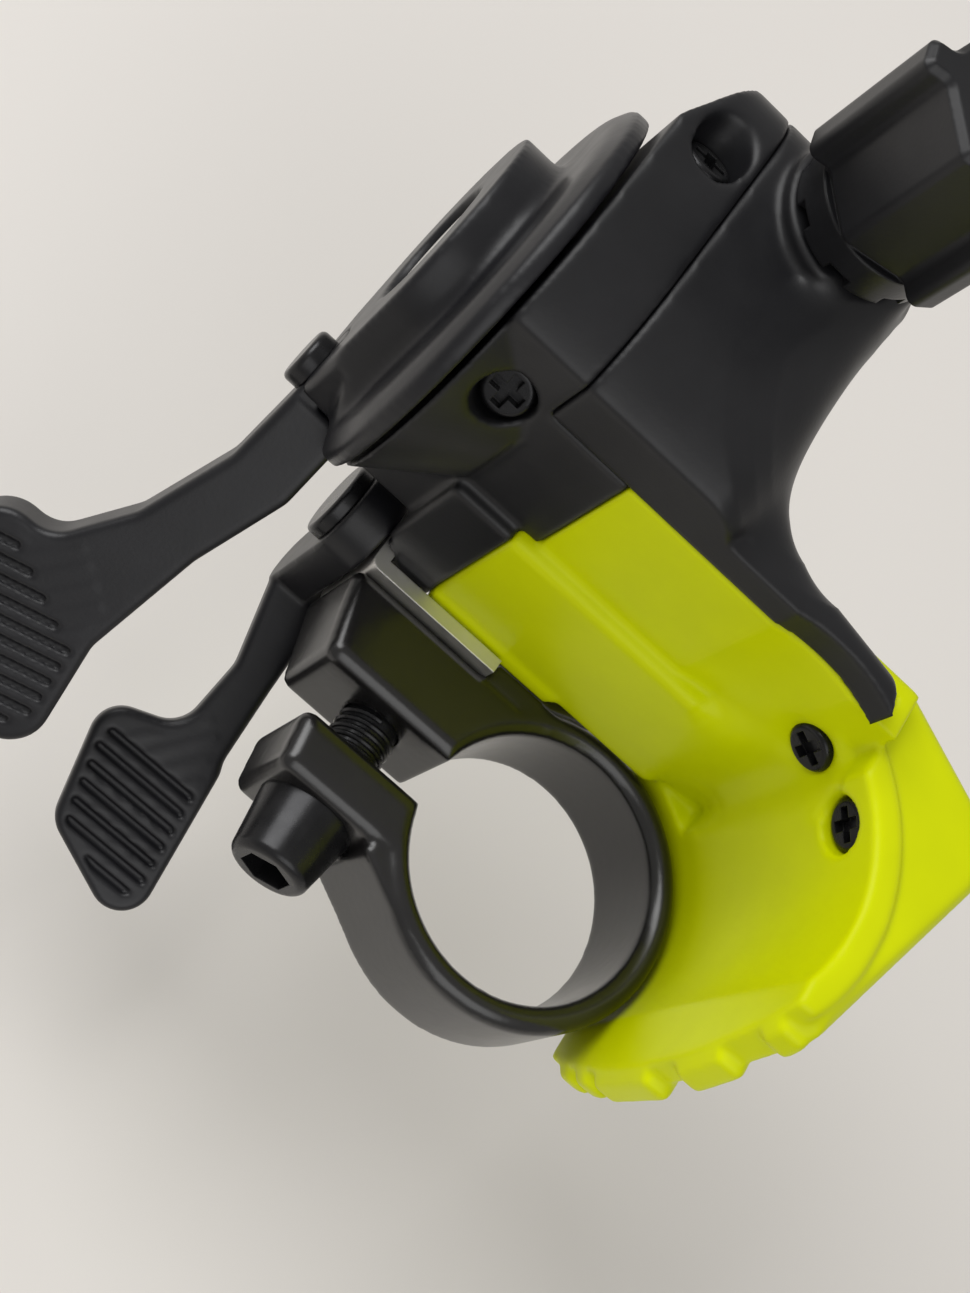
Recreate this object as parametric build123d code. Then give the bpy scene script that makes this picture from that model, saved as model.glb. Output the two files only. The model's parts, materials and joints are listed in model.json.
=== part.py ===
"""Trigger gear shifter for the right end of a bicycle handlebar.

Frame: the origin is the centre of the clamp bore. +Z runs along the bar towards the stem,
+X points forward on the bicycle and +Y points down. Lengths are millimetres, angles degrees.
"""
import os
from math import atan2, cos, degrees, pi, radians, sin
from build123d import *

# Handlebar clamp
BAR_D = 22.2
BORE_CLEARANCE = 0.05
CLAMP_WALL = 2.4
CLAMP_WIDTH = 11.0
CLAMP_EDGE = 0.8
SPLIT_GAP = 4.6
EAR_FACE_X = 10.3
EAR_FOOT_Y = 5.6
EAR_END_Y = 26.8
EAR_SLOPE = 2.4
REAR_EAR_T = 5.3
REAR_EAR_END_Y = 23.2
EAR_CORNER = 0.9
BOLT_Y = 17.0
BOLT_D = 5.0
BOLT_PLAY = 0.2
BOLT_HEAD_D = 8.6
BOLT_TIP_D = 6.9
BOLT_HEAD_LENGTH = 5.8
BOLT_SOCKET = 4.0
BOLT_SOCKET_DEPTH = 3.2

# Steel base plate
PLATE_T = 1.3
PLATE_Y = 25.0
FLANGE_TOP_Y = 12.6
FLANGE_INBOARD_Z = 6.4
FLANGE_OUTBOARD_Z = -4.6
NECK_FRONT_X = 19.4
BEND_R = 1.0
PLATE_PLAY = 0.15
RIVET_D = 2.4
RIVET_LENGTH = 4.5
RIVET_HEAD_D = 4.0
RIVET_HEAD_T = 0.6
RIVET_Y = 22.0
RIVET_SPACING = 5.4

# Pod that holds the mechanism
PIVOT_X = 24.0
PIVOT_Z = 25.0
POD_R = 17.5
BAR_WALL_X = 13.6
ROOF_Y = 10.3
ROOF_T = 1.2
PLATE_LEDGE = 0.5
FLOOR_Y = 34.0
FLOOR_BREAK_X = 34.0
FLOOR_SLOPE = 0.44
WALL = 1.6
ROOF_EDGE = 5.0
SKIRT_TOP_R = 11.5
SKIRT_R = 16.9
SKIRT_WALL = 2.0
JOIN_PLAY = 0.1

# Cable outlet boss
BOSS_X = 37.5
BOSS_Y = 18.4
BOSS_R = 6.7
BOSS_END_Z = 44.6
BOSS_LAND = 1.2
BOSS_FLARE_R = 7.5
BOSS_FLARE_ANGLE = 35.0
LOBE_Z = 36.5
LOBE_R = 7.0

# Yellow top cover with tower and gear window
COVER_WALL = 1.5
PARTING_Z = 33.5
PAD_X = 12.3
PAD_Z = 20.0
PAD_END_Y = 20.8
SLAB_END_Y = 18.9
PAD_TAPER = 3.5
CLAMP_GAP = 0.3
SADDLE_R = 14.2
PAD_EDGE = 1.0
TOWER_FRONT_X = 20.6
TOWER_END_X = 18.0
TOWER_BEVEL_Z = 29.0
TOWER_TIP_Y = -9.0
THROAT_R = 11.0
TAIL_T = 3.2
TAIL_FRONT_X = 17.4
TAIL_LEAN = 10.0
TAIL_STRAIGHT = 6.5
TAIL_HOOK = 1.4
TAIL_EDGE = 2.2
WINDOW_BOX_REAR_X = -11.0
WINDOW_BOX_REAR_Y = -15.7
WINDOW_BOX_BROW_X = 14.5
WINDOW_BOX_BROW_Y = -23.5
WINDOW_BOX_LIP_Y = -13.2
WINDOW_BOX_Z0 = -5.0
WINDOW_BOX_Z1 = 31.0
WINDOW_BOX_CORNER = 5.0
WINDOW_BOX_EDGE = 0.9
REAR_BOW_R = 50.0
REAR_BOW_Z = 13.0
END_RIM_WIDTH = 2.6
END_RIM_H = 0.6
WINDOW_LENGTH = 21.0
WINDOW_WIDTH = 9.0
WINDOW_REACH = 16.7
WINDOW_T = 1.2
WINDOW_LEDGE = 1.0
RIM_BLOCK_Z = (-1.5, 2.2, 9.3, 20.2, 28.6)
RIM_BLOCK_LENGTHS = (2.6, 2.6, 9.0, 6.0, 2.8)
RIM_BLOCK_H = 0.9
RIM_BLOCK_EDGE = 0.7
RIM_BLOCK_DEPTH = 2.0

# Gear pointer and its scale
SCALE_T = 0.5
SCALE_WIDTH = 7.5
SCALE_LENGTH = 19.0
SCALE_DEPTH = 3.1
POINTER_DEPTH = 2.3
POINTER_WIDTH = 1.6
LEG_X = 16.1
LEG_T = 1.2
LEG_WIDTH = 2.6
LEG_Z = 16.9
FOOT_GAP = 0.3
FOOT_T = 1.2
YOKE_WALL = 1.2
YOKE_PLAY = 0.6

# Pivot axle, cable drum and ratchet
AXLE_D = 6.0
AXLE_HEAD_D = 10.0
AXLE_HEAD_T = 1.0
AXLE_HEAD_DEPTH = 0.6
DRUM_AXLE_D = 4.0
RUNNING_CLEARANCE = 0.05
DRUM_R = 8.3
DRUM_TOP_Y = 13.2
RATCHET_T = 1.4
RATCHET_GAP = 0.4
CABLE_D = 1.2
CABLE_PITCH_R = 7.4
GEARS = 7
CABLE_PULL = 2.9
TOOTH_DEPTH = 1.4
SPRING_POCKET_H = 3.0
SPRING_POCKET_R = 7.0
SPRING_STRIP = 0.4
SPRING_TURNS = 3.0
SPRING_POINTS = 8
CRANK_R = 3.6
CRANK_PIN_D = 1.5
CRANK_PIN_H = 1.5
CLIP_T = 0.6
CLIP_D = 5.0
CLIP_GROOVE = 0.35
CLIP_RECESS_R = 2.7
CLIP_RECESS_H = 1.6

# Pawls
PAWL_T = 1.2
PAWL_PIVOT_R = 11.8
PAWL_BOSS_R = 1.9
PAWL_PIN_D = 2.0
PAWL_LIFT = 0.35
PAWL_REACH = 34.0
HOLD_PAWL_ANGLE = -42.0
PAWL_STEPS_APART = 4
STROKE_STEPS = 2
SLOT_PLAY = 0.5

# Thumb lever
LEVER_GAP = 0.4
HUB_RIM_R = 17.5
HUB_RIM_T = 1.4
HUB_FLARE_R = 13.2
HUB_FLARE_Y = 38.0
HUB_BOSS_R = 12.2
HUB_END_Y = 40.4
HUB_EDGE = 0.6
SLEEVE_R = 6.0
SLEEVE_PLAY = 0.4
CARRIER_T = 1.2
CARRIER_R = 7.8
WASHER_T = 0.6
WASHER_PLAY = 0.05
WASHER_R = 7.0
LEVER_ANGLE = 225.0
LEVER_FRONT = 2.0
LEVER_T = 4.2
SEAM_R = 15.1
TONGUE_INNER_R = 9.6
TONGUE_T = 2.2
TONGUE_WIDTH = 3.6
TONGUE_PLAY = 0.05
LEVER_SCREW_R = 13.0
LEVER_SCREW_D = 2.4
LEVER_SCREW_HEAD_D = 4.8
LEVER_SCREW_HEAD_T = 1.5
LEVER_SCREW_LENGTH = 4.6
PADDLE_R0 = 37.3
PADDLE_R1 = 53.8
PADDLE_LOW_Y = 37.0
PADDLE_HIGH_Y = 52.5
PADDLE_CORNER = 3.6
PADDLE_SKEW = 1.7
ARM_LOW_Y = 34.9
ARM_KNEE_R = 22.5
ARM_KNEE_HIGH_Y = 40.6
ARM_NECK_R = 31.0
ARM_NECK_LOW_Y = 37.1
ARM_NECK_HIGH_Y = 43.0
LEVER_BEND_R = 3.0
LEVER_EDGE = 0.6

# Ribs of both paddles
RIB_WIDTH = 0.8
RIB_H = 0.5
RIB_PITCH = 1.7
RIB_MARGIN = 1.3
RIB_SLANT = 35.0

# Release lever
RELEASE_X = 14.4
RELEASE_Z = 3.5
RELEASE_HUB_R = 4.4
RELEASE_GAP = 0.3
RELEASE_HUB_T = 3.6
RELEASE_T = 2.6
RELEASE_BEND_X = 13.0
RELEASE_BEND_Z = -7.0
RELEASE_ANGLE = 204.8
RELEASE_TAIL = 2.0
RELEASE_NECK_L = 10.0
RELEASE_PADDLE_L0 = 16.2
RELEASE_PADDLE_L1 = 33.0
RELEASE_ARM_LOW_Y = 23.7
RELEASE_ARM_HIGH_Y = 27.5
RELEASE_PADDLE_LOW_Y = 19.9
RELEASE_PADDLE_HIGH_Y = 33.4
RELEASE_CORNER = 2.8
RELEASE_SKEW = 2.2
RELEASE_SCREW_D = 3.8
RELEASE_HEAD_D = 7.2
RELEASE_HEAD_T = 1.3

# Barrel adjuster
BARREL_LENGTH = 17.0
BARREL_GAP = 0.3
BARREL_EDGE = 0.5
COLLAR_R = 6.4
COLLAR_LENGTH = 3.3
COLLAR_NOTCHES = 8
NOTCH_R = 1.0
NOTCH_DEPTH = 0.9
GRIP_R = 7.0
GRIP_SIDES = 6
GRIP_CORNER = 0.8
WINGS = 3
WING_R = 8.2
WING_WIDTH = 2.8
WING_ANGLE = 104.0
STEM_D = 6.0
STEM_DEPTH = 9.0
STEM_PLAY = 0.1
CABLE_HOLE_D = 2.2
OUTER_SEAT_D = 5.2
OUTER_SEAT_DEPTH = 9.0
RING_WIRE = 1.4
RING_SINK = 0.1

# Screws
COVER_SCREW_Y = 30.0
COVER_SCREW_ANGLES = (146.0, 60.0, -75.0)
COVER_SCREW_SEATS = (11.0, 18.2, 14.4)
SCREW_HEAD_D = 4.2
SCREW_HEAD_T = 1.3
SCREW_D = 2.0
SCREW_SOCKET = 0.9
SCREW_PLAY = 0.25
SEAT_T = 1.2
TAB_WIDTH = 4.4
TAB_TIP = 1.6
TOP_SCREW_ANGLES = (-27.0, -52.0)
TOP_SCREW_Z = (25.0, 27.0)
TOP_SCREW_SEAT_R = 16.2
TOP_SCREW_LENGTH = 1.9
CUP_WALL = 0.8
ANCHOR_WALL = 1.0
ANCHOR_SPREAD = 8.0

# Return springs
LEVER_SPRING_R = 7.2
LEVER_SPRING_WIRE = 0.9
LEVER_SPRING_TURNS = 2.5
RELEASE_SPRING_R = 2.9
RELEASE_SPRING_WIRE = 0.6
RELEASE_SPRING_TURNS = 2.0
RELEASE_POCKET_H = 2.5
COIL_SPREAD = 1.2

BORE_R = BAR_D / 2 + BORE_CLEARANCE
CLAMP_R = BORE_R + CLAMP_WALL
PLATE_LOW_Y = PLATE_Y + PLATE_T
PARTING_Y = PLATE_LOW_Y + PLATE_LEDGE
LEVER_Y = FLOOR_Y + LEVER_GAP
STEP_ANGLE = degrees(CABLE_PULL / CABLE_PITCH_R)
DRIVE_PAWL_ANGLE = HOLD_PAWL_ANGLE + PAWL_STEPS_APART * STEP_ANGLE
LEVER_STROKE = STROKE_STEPS * STEP_ANGLE
RATCHET_Y = PLATE_Y - RATCHET_GAP - RATCHET_T
SLAB_X = BAR_WALL_X + WALL
COVER_Z0 = CLAMP_WIDTH / 2 + CLAMP_GAP
CARRIER_Y = PLATE_LOW_Y + WASHER_T + 2 * WASHER_PLAY
WINDOW_Z = LEG_Z
BOX_LEAN = (TOWER_FRONT_X - WINDOW_BOX_BROW_X) / (TOWER_TIP_Y - WINDOW_BOX_BROW_Y)
BIG = 200.0


def along_y(plan, y0, y1):
    """Raise a plan drawn in (x, z) between two levels of y."""
    level = Plane(origin=(0, y1, 0), x_dir=(1, 0, 0), z_dir=(0, -1, 0))
    return extrude(level * plan, amount=y1 - y0)


def along_z(profile, z0, z1):
    """Raise a profile drawn in (x, y) between two levels of z."""
    return extrude(Plane.XY.offset(z0) * profile, amount=z1 - z0)


def block(x0, x1, y0, y1, z0, z1):
    return Pos((x0 + x1) / 2, (y0 + y1) / 2, (z0 + z1) / 2) * Box(x1 - x0, y1 - y0, z1 - z0)


def x_rod(y, z, radius, x0, x1):
    return Pos((x0 + x1) / 2, y, z) * Rot(0, 90, 0) * Cylinder(radius, x1 - x0)


def y_rod(x, z, radius, y0, y1):
    return Pos(x, (y0 + y1) / 2, z) * Rot(90, 0, 0) * Cylinder(radius, y1 - y0)


def z_rod(x, y, radius, z0, z1):
    return Pos(x, y, (z0 + z1) / 2) * Cylinder(radius, z1 - z0)


def pivot_rod(radius, y0, y1):
    return y_rod(PIVOT_X, PIVOT_Z, radius, y0, y1)


def turned(angle):
    """Place a shape drawn along +X from the lever pivot at an angle from +X towards +Z."""
    return Pos(PIVOT_X, 0, PIVOT_Z) * Rot(0, -angle, 0)


def polygon(points, corner=0.0):
    """A closed outline with its corners rounded."""
    outline = make_face(Polyline(*points, close=True))
    if corner:
        outline = fillet(outline.vertices(), corner)
    return outline


def rounded_hull(centres, radius):
    """Outline drawn tight round equal circles."""
    edges = ShapeList()
    for centre in centres:
        edges += (Pos(*centre) * Circle(radius)).edges()
    return make_hull(edges)


def bar_clamp():
    half_gap = SPLIT_GAP / 2
    rear_x = -half_gap - REAR_EAR_T
    front = polygon([
        (half_gap, EAR_FOOT_Y), (half_gap, EAR_END_Y - EAR_SLOPE), (EAR_FACE_X, EAR_END_Y),
        (EAR_FACE_X, EAR_FOOT_Y)])
    rear = polygon([
        (-half_gap, EAR_FOOT_Y), (-half_gap, REAR_EAR_END_Y), (rear_x, REAR_EAR_END_Y - EAR_CORNER),
        (rear_x, EAR_FOOT_Y)])
    outline = front + rear + Circle(CLAMP_R)
    outline -= Circle(BORE_R)
    outline -= Pos(0, CLAMP_R) * Rectangle(SPLIT_GAP, 2 * CLAMP_R)
    ear_tips = outline.vertices().filter_by(lambda v: v.Y > BOLT_Y + BOLT_D / 2)
    outline = fillet(ear_tips, EAR_CORNER)
    body = along_z(outline, -CLAMP_WIDTH / 2, CLAMP_WIDTH / 2)
    ends = body.faces().filter_by(Axis.Z)
    body = chamfer(ends.edges(), CLAMP_EDGE)
    body -= x_rod(BOLT_Y, 0, BOLT_D / 2 + BOLT_PLAY, rear_x, 0)
    body -= x_rod(BOLT_Y, 0, BOLT_D / 2 + BORE_CLEARANCE, 0, EAR_FACE_X)
    for z in rivet_places():
        body -= x_rod(RIVET_Y, z, RIVET_D / 2, EAR_FACE_X - RIVET_LENGTH, EAR_FACE_X)
    return body


def rivet_places():
    return (-RIVET_SPACING / 2, RIVET_SPACING / 2)


def clamp_bolt():
    seat_x = -SPLIT_GAP / 2 - REAR_EAR_T
    head = Pos(seat_x - BOLT_HEAD_LENGTH / 2, BOLT_Y, 0) * Rot(0, -90, 0) * Cone(
        BOLT_HEAD_D / 2, BOLT_TIP_D / 2, BOLT_HEAD_LENGTH)
    tip_edge = head.edges().sort_by(Axis.X)[0]
    head = fillet(tip_edge, CLAMP_EDGE)
    mouth = Plane(origin=(seat_x - BOLT_HEAD_LENGTH, BOLT_Y, 0), z_dir=(1, 0, 0))
    socket = RegularPolygon(BOLT_SOCKET / 2, 6, major_radius=False)
    head -= extrude(mouth * socket, amount=BOLT_SOCKET_DEPTH)
    return head + x_rod(BOLT_Y, 0, BOLT_D / 2, seat_x, EAR_FACE_X - CLAMP_EDGE)


def bracket_rivets():
    outer_x = EAR_FACE_X + PLATE_T
    rivets = []
    for z in rivet_places():
        shank = x_rod(RIVET_Y, z, RIVET_D / 2, EAR_FACE_X - RIVET_LENGTH, outer_x)
        head = x_rod(RIVET_Y, z, RIVET_HEAD_D / 2, outer_x, outer_x + RIVET_HEAD_T)
        rivets.append(shank + head)
    return Compound(children=rivets)


def pod_plan(inset=0.0):
    """Outline of the pod: a round drum case, a lobe for the cable boss and a flat bar side."""
    drum_case = Pos(PIVOT_X, PIVOT_Z) * Circle(POD_R - inset)
    lobe = Pos(BOSS_X, LOBE_Z) * Circle(LOBE_R - inset)
    hull = make_hull(drum_case.edges() + lobe.edges())
    return hull - Pos(BAR_WALL_X + inset - BIG / 2, PIVOT_Z) * Rectangle(BIG, BIG)


def neck_plan(play=0.0):
    """The part of the base plate that leaves the pod and carries the clamp and release lever."""
    foot_x = EAR_FACE_X - play
    neck_x = PAD_X + WALL - play
    front_x = NECK_FRONT_X + play
    outer_z = FLANGE_OUTBOARD_Z - play
    foot_z = FLANGE_INBOARD_Z + play
    pod_z = PIVOT_Z - POD_R + WALL + NECK_FRONT_X - BAR_WALL_X + play
    return polygon([
        (foot_x, outer_z), (front_x, outer_z), (front_x, pod_z), (neck_x, pod_z), (neck_x, foot_z),
        (foot_x, foot_z)])


def arc_slot(radius, width, start, end):
    """A curved slot about the lever pivot."""
    middle = SlotArc(CenterArc((0, 0), radius, start, end - start), width)
    return Pos(PIVOT_X, PIVOT_Z) * middle


def screw_tab(angle, seat, play=0.0):
    """A turned-down ear of the base plate for one cover screw, or the room it needs."""
    outer = seat - SEAT_T
    half = TAB_WIDTH / 2 + play
    tab = block(outer - PLATE_T - play, outer, PLATE_Y, COVER_SCREW_Y + TAB_TIP + play, -half, half)
    return turned(angle) * tab


def screw_tab_hole(angle, seat):
    outer = seat - SEAT_T
    return turned(angle) * x_rod(COVER_SCREW_Y, 0, SCREW_D / 2, outer - PLATE_T, outer)


def base_plate():
    sheet = pod_plan(WALL + PLATE_PLAY) + neck_plan()
    plate = along_y(sheet, PLATE_Y, PLATE_LOW_Y)
    plate += block(EAR_FACE_X, EAR_FACE_X + PLATE_T, FLANGE_TOP_Y, PLATE_LOW_Y,
                   FLANGE_OUTBOARD_Z, FLANGE_INBOARD_Z)
    bend = plate.edges().filter_by(Axis.Z).group_by(Axis.X)[0].sort_by(Axis.Y)[-1]
    plate = fillet(bend, BEND_R)
    for angle, seat in zip(COVER_SCREW_ANGLES, COVER_SCREW_SEATS):
        plate += screw_tab(angle, seat)
        plate -= screw_tab_hole(angle, seat)
    plate -= pivot_rod(AXLE_D / 2, PLATE_Y, PLATE_LOW_Y)
    slot_width = PAWL_PIN_D + 2 * SLOT_PLAY
    slot = arc_slot(PAWL_PIVOT_R, slot_width, DRIVE_PAWL_ANGLE, DRIVE_PAWL_ANGLE + LEVER_STROKE)
    plate -= along_y(slot, PLATE_Y, PLATE_LOW_Y)
    hold_x, hold_z = pawl_pivot(HOLD_PAWL_ANGLE)
    plate -= y_rod(hold_x, hold_z, PAWL_PIN_D / 2, PLATE_Y, PLATE_LOW_Y)
    plate -= y_rod(RELEASE_X, RELEASE_Z, RELEASE_SCREW_D / 2, PLATE_Y, PLATE_LOW_Y)
    for z in rivet_places():
        plate -= x_rod(RIVET_Y, z, RIVET_D / 2, EAR_FACE_X, EAR_FACE_X + PLATE_T)
    return plate


def plate_passage():
    """Room that the housings leave for the neck of the base plate."""
    return along_y(neck_plan(PLATE_PLAY), PLATE_Y - PLATE_PLAY, PARTING_Y)


def bar_side(x1, y0, y1, z0, z1):
    """A slice of the pod's bar-side wall."""
    return block(BAR_WALL_X, x1, y0, y1, z0, z1)


def tower_plan(inset=0.0):
    """Outline of the tower in (x, z); its inboard front corner is cut back behind the tail."""
    front = TOWER_FRONT_X - inset
    return polygon([
        (BAR_WALL_X + inset, COVER_Z0 + inset), (front, COVER_Z0 + inset), (front, TOWER_BEVEL_Z),
        (TOWER_END_X - inset, PARTING_Z), (BAR_WALL_X + inset, PARTING_Z)])


def tail_profile():
    """Section of the tower's inboard wall, whose front sweeps round into the roof of the pod."""
    lean = radians(TAIL_LEAN)
    bend = Vector(TAIL_FRONT_X, ROOF_Y - THROAT_R * (1 - sin(lean)))
    heading = Vector(sin(lean), cos(lean))
    tip = bend - heading * TAIL_STRAIGHT
    web = JernArc(bend, heading, THROAT_R, TAIL_LEAN - 90)
    end = web @ 1
    low_y = ROOF_Y + ROOF_EDGE
    rest = Polyline(end, (end.X, low_y), (BAR_WALL_X, low_y), (BAR_WALL_X, 0),
                    (BAR_WALL_X - TAIL_HOOK, tip.Y - TAIL_HOOK), tip)
    return make_face(Line(tip, bend) + web + rest) - Circle(SADDLE_R)


def tail():
    """Inboard wall of the tower, well rounded along its front."""
    wall = along_z(tail_profile(), PARTING_Z, PARTING_Z + TAIL_T)
    rim = wall.faces().sort_by(Axis.Z)[-1].edges()
    front = rim.filter_by(lambda e: e.center().X > SLAB_X and e.center().Y < ROOF_Y)
    return fillet(front, TAIL_EDGE)


def screw_anchor():
    """Block inside the tower that the top cover's screws bite into, carried by the tail."""
    inner_x = SLAB_X + JOIN_PLAY
    outer_x = TOWER_FRONT_X - 2 * COVER_WALL - JOIN_PLAY
    link_x = TOWER_END_X - COVER_WALL - JOIN_PLAY
    low_z = min(TOP_SCREW_Z) - SCREW_D / 2 - ANCHOR_WALL
    cups = TOP_SCREW_SEAT_R + SEAT_T + JOIN_PLAY
    far = cups + TOP_SCREW_LENGTH
    tip = radians(min(TOP_SCREW_ANGLES) - ANCHOR_SPREAD)
    top_y = far * sin(tip)
    wedge = polygon([
        (inner_x, 0), (outer_x, 0), (outer_x, TOWER_TIP_Y),
        (outer_x + BOX_LEAN * (top_y - TOWER_TIP_Y), top_y), (far * cos(tip), top_y),
        (cups * cos(tip), cups * sin(tip))])
    wedge -= Circle(cups)
    wall_y = TOWER_TIP_Y - COVER_WALL - JOIN_PLAY
    wedge -= Pos(inner_x - BIG / 2, wall_y + BIG / 2) * Rectangle(BIG, BIG)
    anchor = along_z(wedge, low_z, TOWER_BEVEL_Z - JOIN_PLAY)
    anchor += block(inner_x, outer_x, TOWER_TIP_Y / 2, 0, low_z, TOWER_BEVEL_Z - JOIN_PLAY)
    anchor += block(inner_x, link_x, TOWER_TIP_Y / 2, 0, low_z, PARTING_Z)
    for angle, z in zip(TOP_SCREW_ANGLES, TOP_SCREW_Z):
        anchor -= top_screw_place(angle, z) * x_rod(0, 0, SCREW_D / 2, SADDLE_R, far)
        cup_r = SCREW_HEAD_D / 2 + SCREW_PLAY + CUP_WALL + JOIN_PLAY
        anchor -= top_screw_place(angle, z) * x_rod(0, 0, cup_r, SADDLE_R, cups)
    return anchor


def rounded_pod(plan, roof_y, edge):
    """A block of the pod's outline whose roof is rounded, except along the flat bar side."""
    pod = along_y(plan, roof_y, PARTING_Y)
    rim = pod.faces().sort_by(Axis.Y)[0].edges()
    return fillet(rim.filter_by(lambda e: e.center().X > SLAB_X + JOIN_PLAY), edge)


def cable_boss():
    """Round boss that the adjuster sits on, flared where it leaves the pod."""
    land_z = BOSS_END_Z - BOSS_LAND
    flare = JernArc((BOSS_R, land_z), (0, -1), BOSS_FLARE_R, BOSS_FLARE_ANGLE)
    foot = flare @ 1
    rest = Polyline(foot, (foot.X, LOBE_Z), (0, LOBE_Z), (0, BOSS_END_Z), (BOSS_R, BOSS_END_Z),
                    (BOSS_R, land_z))
    boss = revolve(Plane.XZ * make_face(flare + rest), Axis.Z)
    return Pos(BOSS_X, BOSS_Y, 0) * boss & block(0, BOSS_X + LOBE_R, 0, PARTING_Y, 0, BIG)


def main_housing():
    shell = rounded_pod(pod_plan(), ROOF_Y, ROOF_EDGE) + cable_boss() + tail()
    shell -= rounded_pod(pod_plan(WALL), ROOF_Y + ROOF_T, ROOF_EDGE - WALL)
    inner_boss = z_rod(BOSS_X, BOSS_Y, BOSS_R - WALL, LOBE_Z, BOSS_END_Z)
    shell += inner_boss & along_y(pod_plan(), ROOF_Y, PARTING_Y)
    shell -= z_rod(BOSS_X, BOSS_Y, STEM_D / 2 + STEM_PLAY, PIVOT_Z, BOSS_END_Z)
    ring_seat = STEM_D / 2 + STEM_PLAY + RING_WIRE + RING_SINK
    shell -= z_rod(BOSS_X, BOSS_Y, ring_seat, BOSS_END_Z - RING_WIRE - 2 * RING_SINK, BOSS_END_Z)
    shell -= block(0, SLAB_X, 0, PARTING_Y, COVER_Z0, PARTING_Z)
    foot_z = LEG_Z - CRANK_R - LEG_WIDTH / 2 - FOOT_GAP
    shell -= along_y(tower_plan(COVER_WALL), 0, DRUM_TOP_Y) & block(0, BIG, 0, BIG, foot_z, PARTING_Z)
    shell += screw_anchor()
    return shell - plate_passage()


def window_box_profile(inset=0.0):
    """Section of the gear window's box, hollowed below to sit round the bar."""
    box = polygon([
        (WINDOW_BOX_REAR_X, TOWER_TIP_Y), (TOWER_FRONT_X, TOWER_TIP_Y),
        (WINDOW_BOX_BROW_X, WINDOW_BOX_BROW_Y), (WINDOW_BOX_REAR_X, WINDOW_BOX_REAR_Y)])
    box = fillet(box.vertices().sort_by(Axis.Y)[0], WINDOW_BOX_CORNER)
    if inset:
        box = offset(box, -inset)
    box -= Circle(SADDLE_R + inset)
    lip_y = WINDOW_BOX_LIP_Y - inset
    return box - Pos(-BIG / 2, lip_y + BIG / 2) * Rectangle(BIG, BIG)


def bowed(shape, inset=0.0):
    """The part of a shape that lies ahead of the box's bowed rear edge."""
    bow = Pos(WINDOW_BOX_REAR_X + REAR_BOW_R, REAR_BOW_Z) * Circle(REAR_BOW_R - inset)
    return shape & along_y(bow, WINDOW_BOX_BROW_Y, 0)


def window_box():
    box = bowed(along_z(window_box_profile(), WINDOW_BOX_Z0, WINDOW_BOX_Z1))
    ends = box.faces().filter_by(Axis.Z)
    box = chamfer(ends.edges().filter_by(lambda e: e.center().Y < TOWER_TIP_Y - 1), WINDOW_BOX_EDGE)
    rim = window_box_profile() & Circle(SADDLE_R + END_RIM_WIDTH)
    return box + bowed(along_z(rim, WINDOW_BOX_Z1 - COVER_WALL, WINDOW_BOX_Z1 + END_RIM_H))


def rim_blocks():
    """Raised pads along the bowed rear edge of the gear window's box."""
    pads = Part()
    for z, length in zip(RIM_BLOCK_Z, RIM_BLOCK_LENGTHS):
        pad = block(-REAR_BOW_R - RIM_BLOCK_H, -REAR_BOW_R + RIM_BLOCK_DEPTH,
                    WINDOW_BOX_REAR_Y - RIM_BLOCK_H, WINDOW_BOX_REAR_Y + RIM_BLOCK_DEPTH,
                    -length / 2, length / 2)
        turn = degrees((z - REAR_BOW_Z) / REAR_BOW_R)
        middle = Pos(WINDOW_BOX_REAR_X + REAR_BOW_R, 0, REAR_BOW_Z)
        pads += middle * Rot(0, turn, 0) * fillet(pad.edges(), RIM_BLOCK_EDGE)
    return pads


def window_place():
    """Frame of the gear window's sloping face: +X runs along it from the rear, +Y goes in."""
    tilt = atan2(WINDOW_BOX_REAR_Y - WINDOW_BOX_BROW_Y, WINDOW_BOX_BROW_X - WINDOW_BOX_REAR_X)
    return Pos(WINDOW_BOX_REAR_X, WINDOW_BOX_REAR_Y, 0) * Rot(0, 0, -degrees(tilt))


def top_screw_place(angle, z):
    """Frame of one top cover screw: +X runs outwards from the bar."""
    return Pos(0, 0, z) * Rot(0, 0, angle)


def cheek():
    """Curved wall that hangs from the window's box in front of the clamp ring."""
    ring = Circle(SADDLE_R + END_RIM_WIDTH) - Circle(SADDLE_R)
    middle_y = (TOWER_TIP_Y - PAD_TAPER) / 2
    reach = ring & Pos(BIG / 2, middle_y) * Rectangle(BIG, -TOWER_TIP_Y - PAD_TAPER)
    return along_z(reach, WINDOW_BOX_Z0, COVER_Z0)


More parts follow.
